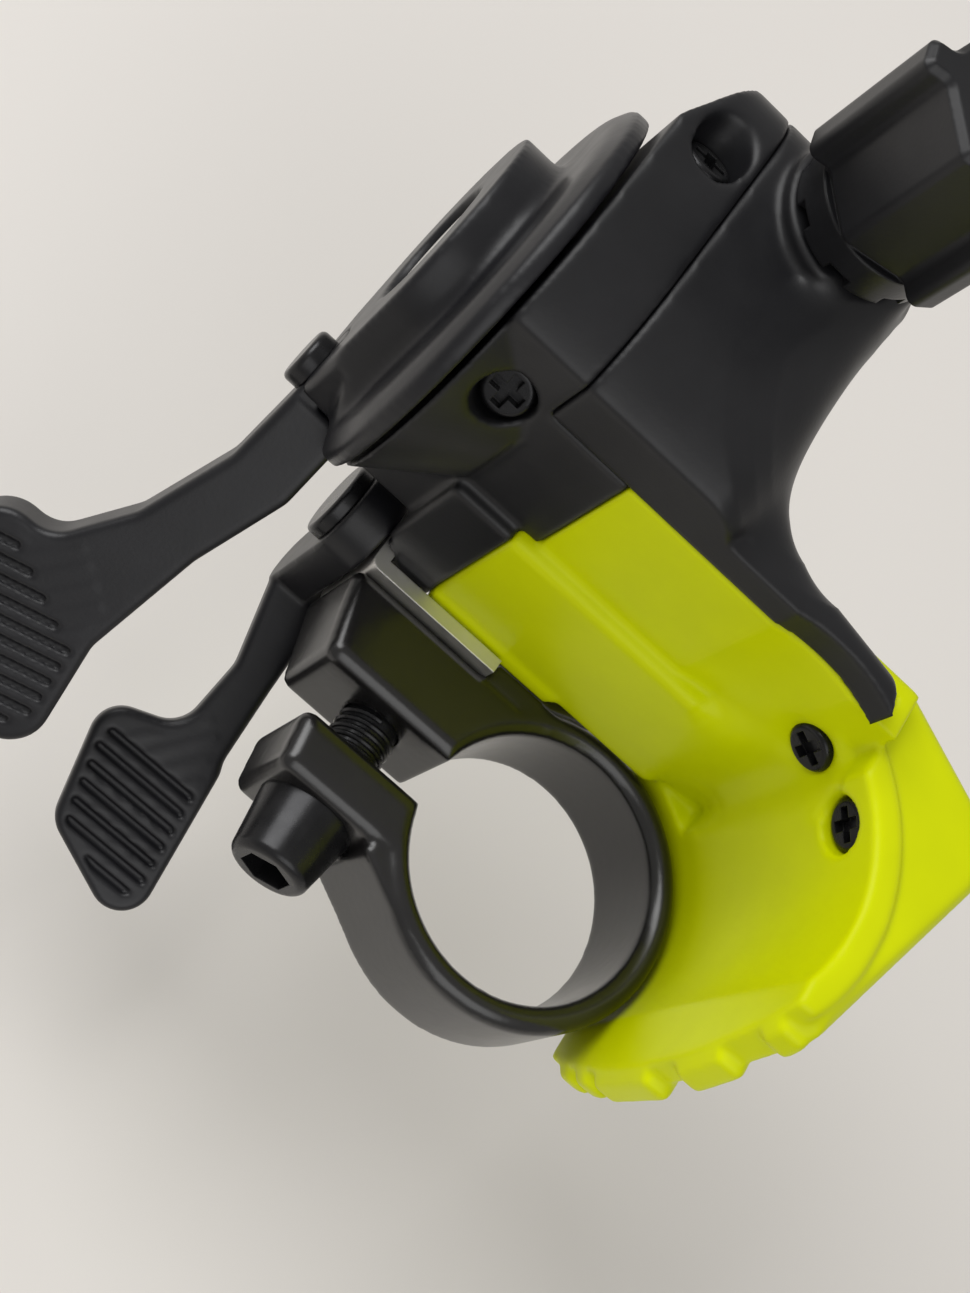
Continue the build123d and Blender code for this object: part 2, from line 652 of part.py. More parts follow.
def top_cover():
    cover = along_y(tower_plan(), TOWER_TIP_Y, ROOF_Y) + window_box() + rim_blocks() + cheek()
    cover += bar_side(SLAB_X, ROOF_Y, PAD_END_Y, COVER_Z0, PAD_Z)
    cover += bar_side(SLAB_X, ROOF_Y, SLAB_END_Y, PAD_Z, PARTING_Z)
    pad = along_z(polygon([
        (SLAB_X, PAD_END_Y), (PAD_X, PAD_END_Y), (PAD_X, -PAD_TAPER), (SLAB_X, -2 * PAD_TAPER)]),
        COVER_Z0, PAD_Z)
    ridge = pad.edges().filter_by(Axis.Y).group_by(Axis.X)[0].sort_by(Axis.Z)[-1]
    cover += fillet(ridge, PAD_EDGE)
    cover -= z_rod(0, 0, SADDLE_R, PAD_Z, PARTING_Z)
    inner_z0 = WINDOW_BOX_Z0 + COVER_WALL
    inner_z1 = WINDOW_BOX_Z1 - COVER_WALL
    cover -= bowed(along_z(window_box_profile(COVER_WALL), inner_z0, inner_z1), COVER_WALL)
    cover -= along_y(tower_plan(COVER_WALL), TOWER_TIP_Y + COVER_WALL, ROOF_Y)
    cover -= block(SLAB_X, TOWER_FRONT_X - 2 * COVER_WALL, TOWER_TIP_Y - COVER_WALL,
                   TOWER_TIP_Y + COVER_WALL, COVER_Z0 + COVER_WALL, inner_z1)
    for angle, z in zip(TOP_SCREW_ANGLES, TOP_SCREW_Z):
        place = top_screw_place(angle, z)
        cup_r = SCREW_HEAD_D / 2 + SCREW_PLAY
        cover += place * x_rod(0, 0, cup_r + CUP_WALL, SADDLE_R + COVER_WALL / 2,
                               TOP_SCREW_SEAT_R + SEAT_T)
        cover -= place * x_rod(0, 0, cup_r, SADDLE_R - COVER_WALL, TOP_SCREW_SEAT_R)
        cover -= place * x_rod(0, 0, SCREW_D / 2 + SCREW_PLAY, SADDLE_R,
                               TOP_SCREW_SEAT_R + SEAT_T + TOP_SCREW_LENGTH / 2)
    window = Pos(WINDOW_REACH, WINDOW_Z) * RectangleRounded(WINDOW_WIDTH, WINDOW_LENGTH, WINDOW_LEDGE)
    sill = Pos(WINDOW_REACH, WINDOW_Z) * Rectangle(
        WINDOW_WIDTH - 2 * WINDOW_LEDGE, WINDOW_LENGTH - 2 * WINDOW_LEDGE)
    cover -= window_place() * along_y(window, 0, WINDOW_T)
    cover -= window_place() * along_y(sill, 0, COVER_WALL + JOIN_PLAY)
    return cover


def indicator_window():
    gap = JOIN_PLAY
    pane = Pos(WINDOW_REACH, WINDOW_Z) * RectangleRounded(
        WINDOW_WIDTH - 2 * gap, WINDOW_LENGTH - 2 * gap, WINDOW_LEDGE - gap)
    lens = along_y(pane, 0, WINDOW_T)
    return window_place() * chamfer(lens.faces().sort_by(Axis.Y)[0].edges(), WINDOW_T / 3)


def pawl_pivot(angle):
    reach = radians(angle)
    return PIVOT_X + PAWL_PIVOT_R * cos(reach), PIVOT_Z + PAWL_PIVOT_R * sin(reach)


def skirt(inset=0.0):
    """Flared bar side of the bottom cover, down to the lever's rim."""
    height = FLOOR_Y - PARTING_Y
    return Pos(PIVOT_X, PARTING_Y + height / 2, PIVOT_Z) * Rot(90, 0, 0) * Cone(
        SKIRT_R - inset, SKIRT_TOP_R - inset, height)


def apron():
    """Upright part of the bottom cover that closes the pod below the top cover."""
    low = block(PAD_X, SLAB_X, PAD_END_Y, PARTING_Y, COVER_Z0, PAD_Z)
    return low + bar_side(SLAB_X, SLAB_END_Y, PARTING_Y, PAD_Z, PARTING_Z)


def front_slope(depth=0.0):
    """All that lies under the sloping front of the floor, which falls away ahead of the lever's hub."""
    low = FLOOR_Y - depth
    fall = FLOOR_SLOPE * (BIG - FLOOR_BREAK_X)
    side = polygon([(FLOOR_BREAK_X, low), (BIG, low - fall), (BIG, BIG), (FLOOR_BREAK_X, BIG)])
    return along_z(side, -BIG, BIG)


def bottom_cover():
    outer = along_y(pod_plan(), PARTING_Y, FLOOR_Y) + skirt() - front_slope()
    cover = outer + apron()
    inner_floor = FLOOR_Y - WALL
    cover -= along_y(pod_plan(WALL), PARTING_Y, inner_floor) - front_slope(WALL)
    cover -= skirt(SKIRT_WALL) - block(0, BIG, inner_floor, BIG, 0, BIG) - front_slope(WALL)
    head_r = SCREW_HEAD_D / 2 + SCREW_PLAY
    for angle, seat in zip(COVER_SCREW_ANGLES, COVER_SCREW_SEATS):
        seat_boss = turned(angle) * x_rod(COVER_SCREW_Y, 0, head_r + SEAT_T, seat - SEAT_T, BIG / 2)
        cover += seat_boss & outer
        cover -= turned(angle) * x_rod(COVER_SCREW_Y, 0, head_r, seat, BIG / 2)
        cover -= turned(angle) * x_rod(COVER_SCREW_Y, 0, SCREW_D / 2 + SCREW_PLAY, seat - SEAT_T, seat)
        cover -= screw_tab(angle, seat, PLATE_PLAY)
    cover -= pivot_rod(SLEEVE_R + SLEEVE_PLAY, PARTING_Y, FLOOR_Y)
    cover -= y_rod(RELEASE_X, RELEASE_Z, RELEASE_HUB_R + SLEEVE_PLAY, PLATE_LOW_Y, PARTING_Y)
    return cover - plate_passage()


def screw(seat, length):
    """A pan head screw along +X with its head at the seat and a cross recess."""
    body = x_rod(0, 0, SCREW_HEAD_D / 2, seat, seat + SCREW_HEAD_T)
    body = fillet(body.edges().sort_by(Axis.X)[-1], SCREW_HEAD_T / 3)
    half = SCREW_SOCKET / 2
    reach = SCREW_HEAD_D / 3
    depth = seat + SCREW_HEAD_T / 3
    body -= block(depth, seat + SCREW_HEAD_T, -half, half, -reach, reach)
    body -= block(depth, seat + SCREW_HEAD_T, -reach, reach, -half, half)
    return body + x_rod(0, 0, SCREW_D / 2, seat - length, seat)


def cover_screws():
    screws = []
    for angle, seat in zip(COVER_SCREW_ANGLES, COVER_SCREW_SEATS):
        screws.append(turned(angle) * Pos(0, COVER_SCREW_Y, 0) * screw(seat, SEAT_T + PLATE_T))
    return Compound(children=screws)


def top_cover_screws():
    screws = []
    for angle, z in zip(TOP_SCREW_ANGLES, TOP_SCREW_Z):
        inward = Pos(TOP_SCREW_SEAT_R, 0, 0) * Rot(0, 180, 0) * Pos(-TOP_SCREW_SEAT_R, 0, 0)
        place = top_screw_place(angle, z) * inward
        screws.append(place * screw(TOP_SCREW_SEAT_R, SEAT_T + TOP_SCREW_LENGTH))
    return Compound(children=screws)


def rest_crank():
    """Angle of the drum's crank pin in top gear; it stands square to the bar in mid travel."""
    return 180.0 - STEP_ANGLE * (GEARS - 1) / 2


def pointer_offset():
    return CRANK_R * sin(radians(rest_crank()))


def indicator_scale():
    plate = Pos(WINDOW_REACH, WINDOW_Z) * RectangleRounded(SCALE_WIDTH, SCALE_LENGTH, WINDOW_LEDGE)
    return window_place() * along_y(plate, SCALE_DEPTH, SCALE_DEPTH + SCALE_T)


def pointer_point(reach):
    """A point of the pointer's middle line under the gear window."""
    place = window_place() * Pos(reach, POINTER_DEPTH, 0)
    return place.position.X, place.position.Y


def indicator_slide():
    z = LEG_Z + pointer_offset()
    yoke_z = PIVOT_Z + pointer_offset()
    half = LEG_WIDTH / 2
    foot_low = DRUM_TOP_Y - FOOT_GAP
    foot_top = foot_low - FOOT_T
    tip = pointer_point(WINDOW_REACH - WINDOW_WIDTH / 2 + WINDOW_LEDGE)
    bend = pointer_point(WINDOW_REACH + WINDOW_WIDTH / 2)
    knee = (LEG_X, TOWER_TIP_Y - COVER_WALL)
    strip = rounded_hull([tip, bend], LEG_T / 2) + rounded_hull([bend, knee], LEG_T / 2)
    pointer = along_z(strip, z - POINTER_WIDTH / 2, z + POINTER_WIDTH / 2)
    leg = along_z(rounded_hull([knee, (LEG_X, foot_top)], LEG_T / 2), z - half, z + half)
    slot_half = CRANK_PIN_D / 2 + YOKE_PLAY
    start = LEG_X - LEG_T / 2
    near = PIVOT_X - CRANK_R - slot_half
    far = PIVOT_X + CRANK_R * cos(radians(rest_crank())) + slot_half
    wall = slot_half + YOKE_WALL
    foot = block(start, near, foot_top, foot_low, z - half, yoke_z + wall)
    foot += block(start, far + YOKE_WALL, foot_top, foot_low, yoke_z - wall, yoke_z + wall)
    foot -= block(near, far, foot_top, foot_low, yoke_z - slot_half, yoke_z + slot_half)
    return leg + pointer + foot


def pivot_axle():
    axle = pivot_rod(DRUM_AXLE_D / 2, DRUM_TOP_Y + JOIN_PLAY, PLATE_Y)
    head_y = HUB_END_Y - AXLE_HEAD_T - AXLE_HEAD_DEPTH
    axle += pivot_rod(AXLE_D / 2, PLATE_Y, head_y)
    axle += pivot_rod(AXLE_HEAD_D / 2, head_y, head_y + AXLE_HEAD_T)
    ring = pivot_rod(DRUM_AXLE_D / 2, clip_level(), clip_level() + CLIP_T)
    return axle - (ring - pivot_rod(DRUM_AXLE_D / 2 - CLIP_GROOVE, clip_level(), clip_level() + CLIP_T))


def clip_level():
    return DRUM_TOP_Y + CLIP_RECESS_H - CLIP_T - RUNNING_CLEARANCE


def axle_clip():
    """Open spring clip that keeps the drum on its axle."""
    clip = pivot_rod(CLIP_D / 2, clip_level(), clip_level() + CLIP_T)
    clip -= pivot_rod(DRUM_AXLE_D / 2 - CLIP_GROOVE, clip_level(), clip_level() + CLIP_T)
    mouth = DRUM_AXLE_D / 2 - CLIP_GROOVE
    return clip - turned(0) * block(0, CLIP_D, 0, BIG, -mouth, mouth)


def cable_drum():
    drum = pivot_rod(DRUM_R, DRUM_TOP_Y, RATCHET_Y)
    groove_bottom = CABLE_PITCH_R - CABLE_D / 2
    groove = pivot_rod(DRUM_R, BOSS_Y - CABLE_D, BOSS_Y + CABLE_D)
    drum -= groove - pivot_rod(groove_bottom, BOSS_Y - CABLE_D, BOSS_Y + CABLE_D)
    drum -= pivot_rod(DRUM_AXLE_D / 2 + RUNNING_CLEARANCE, DRUM_TOP_Y, RATCHET_Y)
    drum -= pivot_rod(CLIP_RECESS_R, DRUM_TOP_Y, DRUM_TOP_Y + CLIP_RECESS_H)
    drum -= pivot_rod(SPRING_POCKET_R, RATCHET_Y - SPRING_POCKET_H, RATCHET_Y)
    pin = y_rod(CRANK_R, 0, CRANK_PIN_D / 2, DRUM_TOP_Y - CRANK_PIN_H, DRUM_TOP_Y)
    return drum + turned(rest_crank()) * pin


def drum_spring():
    """Flat spiral that turns the drum back, from the axle out to the pocket's wall."""
    inner = DRUM_AXLE_D / 2 + SPRING_STRIP
    growth = (SPRING_POCKET_R - SPRING_STRIP - inner) / SPRING_TURNS
    steps = int(SPRING_TURNS * SPRING_POINTS)

    def spiral(offset):
        points = []
        for i in range(steps + 1):
            turn = i * SPRING_TURNS / steps
            radius = inner + growth * turn + offset
            points.append((radius * cos(2 * pi * turn), radius * sin(2 * pi * turn)))
        return Spline(*points)

    near = spiral(-SPRING_STRIP / 2)
    far = spiral(SPRING_STRIP / 2)
    strip = make_face(near + far + Line(near @ 0, far @ 0) + Line(near @ 1, far @ 1))
    top = RATCHET_Y - SPRING_POCKET_H + RATCHET_GAP
    return along_y(Pos(PIVOT_X, PIVOT_Z) * strip, top, RATCHET_Y - RATCHET_GAP)


def ratchet_outline():
    """Saw teeth about the pivot: each has a steep face that the pawls bear on."""
    count = int(360 / STEP_ANGLE)
    first = HOLD_PAWL_ANGLE + PAWL_REACH + SLOT_PLAY
    points = []
    for i in range(count):
        face = radians(first + i * STEP_ANGLE)
        for radius in (DRUM_R - TOOTH_DEPTH, DRUM_R):
            points.append((PIVOT_X + radius * cos(face), PIVOT_Z + radius * sin(face)))
    return polygon(points)


def ratchet_wheel():
    wheel = along_y(ratchet_outline(), RATCHET_Y, RATCHET_Y + RATCHET_T)
    return wheel - pivot_rod(DRUM_AXLE_D / 2 + RUNNING_CLEARANCE, RATCHET_Y, RATCHET_Y + RATCHET_T)


def pawl(angle):
    """A finger on a pin whose tip stands clear of the ratchet's teeth."""
    tip_angle = angle + PAWL_REACH
    tip_r = DRUM_R + PAWL_LIFT

    def at(degree, radius):
        turn = radians(degree)
        return PIVOT_X + radius * cos(turn), PIVOT_Z + radius * sin(turn)

    finger = polygon([
        at(angle, PAWL_PIVOT_R + PAWL_BOSS_R), at(tip_angle, tip_r + PAWL_BOSS_R), at(tip_angle, tip_r),
        at(tip_angle - PAWL_REACH / 4, tip_r + PAWL_LIFT), at(angle, PAWL_PIVOT_R - PAWL_BOSS_R)])
    eye = Pos(*pawl_pivot(angle)) * Circle(PAWL_BOSS_R)
    hole = Pos(*pawl_pivot(angle)) * Circle(PAWL_PIN_D / 2 + RUNNING_CLEARANCE)
    top = RATCHET_Y + (RATCHET_T - PAWL_T) / 2
    return along_y(finger + eye - hole, top, top + PAWL_T)


def pawl_pin(angle, low_y):
    """Headed pin of a pawl, fixed in the plate at its lower end."""
    x, z = pawl_pivot(angle)
    top = RATCHET_Y + (RATCHET_T - PAWL_T) / 2 - RUNNING_CLEARANCE
    head = y_rod(x, z, PAWL_BOSS_R, top - PAWL_T / 2, top)
    return head + y_rod(x, z, PAWL_PIN_D / 2, top, low_y)


def holding_pawl():
    return pawl(HOLD_PAWL_ANGLE)


def drive_pawl():
    return pawl(DRIVE_PAWL_ANGLE)


def holding_pawl_pin():
    return pawl_pin(HOLD_PAWL_ANGLE, PLATE_LOW_Y)


def drive_pawl_pin():
    return pawl_pin(DRIVE_PAWL_ANGLE, CARRIER_Y + CARRIER_T)


def thrust_washer():
    y0 = PLATE_LOW_Y + WASHER_PLAY
    return pivot_rod(WASHER_R, y0, y0 + WASHER_T) - pivot_rod(
        AXLE_D / 2 + RUNNING_CLEARANCE, y0, y0 + WASHER_T)


def lever_carrier():
    """Steel plate under the base plate that the thumb lever turns; it carries the drive pawl."""
    x, z = pawl_pivot(DRIVE_PAWL_ANGLE)
    arm = Pos(x, z) * Circle(PAWL_BOSS_R)
    disc = Pos(PIVOT_X, PIVOT_Z) * Circle(CARRIER_R)
    plan = make_hull(arm.edges() + (Pos(PIVOT_X, PIVOT_Z) * Circle(CARRIER_R / 2)).edges()) + disc
    plate = along_y(plan, CARRIER_Y, CARRIER_Y + CARRIER_T)
    plate -= pivot_rod(AXLE_D / 2 + RUNNING_CLEARANCE, CARRIER_Y, CARRIER_Y + CARRIER_T)
    return plate - y_rod(x, z, PAWL_PIN_D / 2, CARRIER_Y, CARRIER_Y + CARRIER_T)


def lever_hub():
    bore = AXLE_D / 2 + RUNNING_CLEARANCE
    head_bore = AXLE_HEAD_D / 2 + SLEEVE_PLAY
    head_floor = HUB_END_Y - AXLE_HEAD_T - AXLE_HEAD_DEPTH
    step = HUB_FLARE_R - HUB_BOSS_R
    half = polygon([
        (bore, CARRIER_Y + CARRIER_T), (SLEEVE_R, CARRIER_Y + CARRIER_T), (SLEEVE_R, LEVER_Y),
        (HUB_RIM_R, LEVER_Y), (HUB_RIM_R, LEVER_Y + HUB_RIM_T), (HUB_FLARE_R, HUB_FLARE_Y),
        (HUB_BOSS_R, HUB_FLARE_Y + step), (HUB_BOSS_R, HUB_END_Y - HUB_EDGE),
        (HUB_BOSS_R - HUB_EDGE, HUB_END_Y), (head_bore, HUB_END_Y), (head_bore, head_floor),
        (bore, head_floor)])
    hub = Pos(PIVOT_X, 0, PIVOT_Z) * revolve(half, Axis.Y)
    hub += turned(LEVER_ANGLE) * lever_root()
    hub -= pivot_rod(head_bore, head_floor, HUB_END_Y)
    hub -= pivot_rod(bore, LEVER_Y, HUB_END_Y)
    arm_way = block(SEAM_R, PADDLE_R0, ARM_LOW_Y - TONGUE_PLAY, HUB_END_Y,
                    -LEVER_FRONT - TONGUE_PLAY, LEVER_T - LEVER_FRONT + TONGUE_PLAY)
    hub -= turned(LEVER_ANGLE) * (tongue(TONGUE_PLAY) + arm_way)
    return hub - turned(LEVER_ANGLE) * lever_screw_hole()


def lever_root():
    """Boss of the hub, drawn out to a point where the thumb lever's arm leaves it."""
    end = Pos(SEAM_R - LEVER_EDGE, LEVER_T / 2 - LEVER_FRONT) * Rectangle(2 * LEVER_EDGE, LEVER_T)
    drop = make_hull(Circle(HUB_BOSS_R).edges() + end.edges())
    root = along_y(drop, ARM_LOW_Y, HUB_END_Y)
    rim = root.faces().sort_by(Axis.Y)[-1].edges().filter_by(lambda e: e.center().X < SEAM_R - LEVER_EDGE)
    return chamfer(rim, HUB_EDGE)


def tongue(play=0.0):
    """Flat tongue of the thumb lever that lies in the hub's end face."""
    half = TONGUE_WIDTH / 2 + play
    return block(TONGUE_INNER_R - play, SEAM_R + LEVER_T, HUB_END_Y - TONGUE_T - play, HUB_END_Y, -half, half)


def lever_screw_hole():
    return y_rod(LEVER_SCREW_R, 0, LEVER_SCREW_D / 2, HUB_END_Y - LEVER_SCREW_LENGTH, HUB_END_Y)


def lever_outline():
    """Side view of the thumb lever's arm and paddle, in distance from the pivot and y."""
    seam = SEAM_R + TONGUE_PLAY
    root = PADDLE_R0 + PADDLE_CORNER
    tip = PADDLE_R1 - PADDLE_CORNER
    low = PADDLE_LOW_Y + PADDLE_CORNER
    high = PADDLE_HIGH_Y - PADDLE_CORNER
    paddle = rounded_hull([
        (root, low + PADDLE_SKEW), (tip, low), (tip - PADDLE_SKEW, high), (root, high)], PADDLE_CORNER)
    arm = polygon([
        (seam, ARM_LOW_Y), (ARM_KNEE_R, ARM_LOW_Y), (ARM_NECK_R, ARM_NECK_LOW_Y),
        (root + PADDLE_CORNER, PADDLE_LOW_Y + PADDLE_SKEW), (root, high), (ARM_NECK_R, ARM_NECK_HIGH_Y),
        (ARM_KNEE_R, ARM_KNEE_HIGH_Y), (seam, HUB_END_Y)])
    outline = arm + paddle
    bends = outline.vertices().filter_by(
        lambda v: seam + LEVER_EDGE < v.X < tip - PADDLE_CORNER and v.Y < high - LEVER_EDGE)
    return fillet(bends, LEVER_BEND_R)


def ribs(outline, front, slant, x0, x1, y0, y1):
    """Grip ribs on the front of a paddle, kept inside its outline."""
    bars = Part()
    field = extrude(Plane.XY.offset(front - RIB_H) * outline, amount=RIB_H)
    middle_x = (x0 + x1) / 2
    middle_y = (y0 + y1) / 2
    count = int((y1 - y0) / RIB_PITCH)
    for i in range(count):
        y = (i - (count - 1) / 2) * RIB_PITCH
        bars += Pos(middle_x, middle_y, front - RIB_H / 2) * Rot(0, 0, slant) * Pos(0, y, 0) * Box(
            x1 - x0, RIB_WIDTH, RIB_H)
    return bars & field


def thumb_lever():
    outline = lever_outline()
    arm = along_z(outline, -LEVER_FRONT, LEVER_T - LEVER_FRONT)
    arm = fillet(arm.faces().filter_by(Axis.Z).edges(), LEVER_EDGE)
    arm += tongue()
    arm += ribs(offset(outline, -RIB_MARGIN), -LEVER_FRONT, RIB_SLANT,
                PADDLE_R0, PADDLE_R1, PADDLE_LOW_Y, PADDLE_HIGH_Y)
    arm -= lever_screw_hole()
    return turned(LEVER_ANGLE) * arm


def lever_screw():
    head = y_rod(LEVER_SCREW_R, 0, LEVER_SCREW_HEAD_D / 2, HUB_END_Y, HUB_END_Y + LEVER_SCREW_HEAD_T)
    head = fillet(head.edges().sort_by(Axis.Y)[-1], LEVER_SCREW_HEAD_T / 3)
    return turned(LEVER_ANGLE) * (head + lever_screw_hole())


def release_place():
    """Frame of the release lever's blade: +X runs along it from the bend."""
    return Pos(RELEASE_BEND_X, 0, RELEASE_BEND_Z) * Rot(0, -RELEASE_ANGLE, 0)


def release_outline():
    """Side view of the release lever's blade, in distance from the bend and y."""
    hub_y = PLATE_LOW_Y + RELEASE_GAP
    hub_end = hub_y + RELEASE_HUB_T
    root = RELEASE_PADDLE_L0 + RELEASE_CORNER
    tip = RELEASE_PADDLE_L1 - RELEASE_CORNER
    low = RELEASE_PADDLE_LOW_Y + RELEASE_CORNER
    high = RELEASE_PADDLE_HIGH_Y - RELEASE_CORNER
    paddle = rounded_hull([
        (root, low + RELEASE_SKEW), (tip, low), (tip - RELEASE_SKEW, high - RELEASE_SKEW),
        (root + RELEASE_SKEW, high)], RELEASE_CORNER)
    arm = polygon([
        (-RELEASE_TAIL, hub_y), (RELEASE_TAIL, hub_y - RELEASE_TAIL), (RELEASE_NECK_L, RELEASE_ARM_LOW_Y),
        (root + RELEASE_CORNER, RELEASE_PADDLE_LOW_Y + RELEASE_SKEW), (root, RELEASE_ARM_HIGH_Y),
        (RELEASE_NECK_L, RELEASE_ARM_HIGH_Y), (RELEASE_TAIL, hub_end), (-RELEASE_TAIL, hub_end)])
    outline = arm + paddle
    bends = outline.vertices().filter_by(lambda v: 0 < v.X < root and v.Y < high)
    return fillet(bends, LEVER_BEND_R)


def release_lever():
    y0 = PLATE_LOW_Y + RELEASE_GAP
    y1 = y0 + RELEASE_HUB_T
    hub = Pos(RELEASE_X, RELEASE_Z) * Circle(RELEASE_HUB_R)
    bend = Pos(RELEASE_BEND_X, RELEASE_BEND_Z) * Circle(RELEASE_T)
    lever = along_y(make_hull(hub.edges() + bend.edges()), y0, y1)
    outline = release_outline()
    blade = along_z(outline, -RELEASE_T / 2, RELEASE_T / 2)
    blade = fillet(blade.faces().filter_by(Axis.Z).edges(), LEVER_EDGE)
    blade += ribs(offset(outline, -RIB_MARGIN), -RELEASE_T / 2, RIB_SLANT, RELEASE_PADDLE_L0,
                  RELEASE_PADDLE_L1, RELEASE_PADDLE_LOW_Y, RELEASE_PADDLE_HIGH_Y)
    lever += release_place() * blade
    lever -= y_rod(RELEASE_X, RELEASE_Z, RELEASE_SCREW_D / 2 + RUNNING_CLEARANCE, y0, y1)
    pocket = RELEASE_SPRING_R + RELEASE_SPRING_WIRE
    return lever - y_rod(RELEASE_X, RELEASE_Z, pocket, y0, y0 + RELEASE_POCKET_H)


def release_screw():
    y1 = PLATE_LOW_Y + RELEASE_GAP + RELEASE_HUB_T + RUNNING_CLEARANCE
    head = y_rod(RELEASE_X, RELEASE_Z, RELEASE_HEAD_D / 2, y1, y1 + RELEASE_HEAD_T)
    head = fillet(head.edges().sort_by(Axis.Y)[-1], RELEASE_HEAD_T / 3)
    return head + y_rod(RELEASE_X, RELEASE_Z, RELEASE_SCREW_D / 2, PLATE_Y, y1)


def coil(x, z, radius, wire, y0, turns):
    """A close-wound torsion spring about an upright axis."""
    pitch = wire * COIL_SPREAD
    path = Helix(pitch, pitch * turns, radius)
    section = Plane(origin=path @ 0, z_dir=path % 0) * Circle(wire / 2)
    return Pos(x, y0, z) * Rot(-90, 0, 0) * sweep(section, path=path)


def lever_spring():
    y0 = CARRIER_Y + CARRIER_T + LEVER_SPRING_WIRE
    return coil(PIVOT_X, PIVOT_Z, LEVER_SPRING_R, LEVER_SPRING_WIRE, y0, LEVER_SPRING_TURNS)


def release_spring():
    y0 = PLATE_LOW_Y + RELEASE_GAP + RELEASE_SPRING_WIRE / 2
    return coil(RELEASE_X, RELEASE_Z, RELEASE_SPRING_R, RELEASE_SPRING_WIRE, y0, RELEASE_SPRING_TURNS)


def grip_section():
    """Section of the adjuster's grip: a hexagon with a wing on every other corner."""
    section = RegularPolygon(GRIP_R, GRIP_SIDES)
    for i in range(WINGS):
        section += Rot(0, 0, i * 360 / WINGS) * Pos(WING_R / 2, 0) * Rectangle(WING_R, WING_WIDTH)
    return Rot(0, 0, WING_ANGLE) * fillet(section.vertices(), GRIP_CORNER)


def barrel_adjuster():
    z0 = BOSS_END_Z + BARREL_GAP
    z1 = z0 + BARREL_LENGTH
    knob = along_z(grip_section(), z0 + COLLAR_LENGTH, z1)
    knob = chamfer(knob.faces().filter_by(Axis.Z).edges(), BARREL_EDGE)
    knob += z_rod(0, 0, COLLAR_R, z0, z0 + COLLAR_LENGTH)
    for i in range(COLLAR_NOTCHES):
        notch = z_rod(COLLAR_R, 0, NOTCH_R, z0, z0 + NOTCH_DEPTH)
        knob -= Rot(0, 0, i * 360 / COLLAR_NOTCHES) * notch
    knob += z_rod(0, 0, STEM_D / 2, BOSS_END_Z - STEM_DEPTH, z0)
    knob -= z_rod(0, 0, CABLE_HOLE_D / 2, BOSS_END_Z - STEM_DEPTH, z1)
    knob -= z_rod(0, 0, OUTER_SEAT_D / 2, z1 - OUTER_SEAT_DEPTH, z1)
    return Pos(BOSS_X, BOSS_Y, 0) * knob


def adjuster_ring():
    """Rubber ring that gives the adjuster its drag."""
    return Pos(BOSS_X, BOSS_Y, BOSS_END_Z - RING_WIRE / 2 - RING_SINK) * Torus(
        STEM_D / 2 + RING_WIRE / 2 + STEM_PLAY, RING_WIRE / 2)


PARTS = {
    "bar_clamp": bar_clamp,
    "clamp_bolt": clamp_bolt,
    "bracket_rivets": bracket_rivets,
    "base_plate": base_plate,
    "main_housing": main_housing,
    "bottom_cover": bottom_cover,
    "top_cover": top_cover,
    "cover_screws": cover_screws,
    "top_cover_screws": top_cover_screws,
    "indicator_window": indicator_window,
    "indicator_scale": indicator_scale,
    "indicator_slide": indicator_slide,
    "pivot_axle": pivot_axle,
    "axle_clip": axle_clip,
    "cable_drum": cable_drum,
    "drum_spring": drum_spring,
    "ratchet_wheel": ratchet_wheel,
    "holding_pawl": holding_pawl,
    "holding_pawl_pin": holding_pawl_pin,
    "drive_pawl": drive_pawl,
    "drive_pawl_pin": drive_pawl_pin,
    "thrust_washer": thrust_washer,
    "lever_carrier": lever_carrier,
    "lever_hub": lever_hub,
    "thumb_lever": thumb_lever,
    "lever_screw": lever_screw,
    "lever_spring": lever_spring,
    "release_lever": release_lever,
    "release_screw": release_screw,
    "release_spring": release_spring,
    "barrel_adjuster": barrel_adjuster,
    "adjuster_ring": adjuster_ring,
}

if __name__ == "__main__":
    os.makedirs("parts", exist_ok=True)
    for name, make in PARTS.items():
        export_step(make(), f"parts/{name}.step")
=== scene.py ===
"""Looks of a trigger gear shifter for the right end of a bicycle handlebar.

The frame is the part's own: the origin is the centre of the clamp bore, +Z runs along the bar
towards the stem, +X points forward on the bicycle and +Y points down. Blender's lengths are
metres. A group of values whose heading says so is in millimetres.
"""
import json
from math import cos, pi, radians, sin
import bpy
import numpy as np
from mathutils import Matrix, Vector


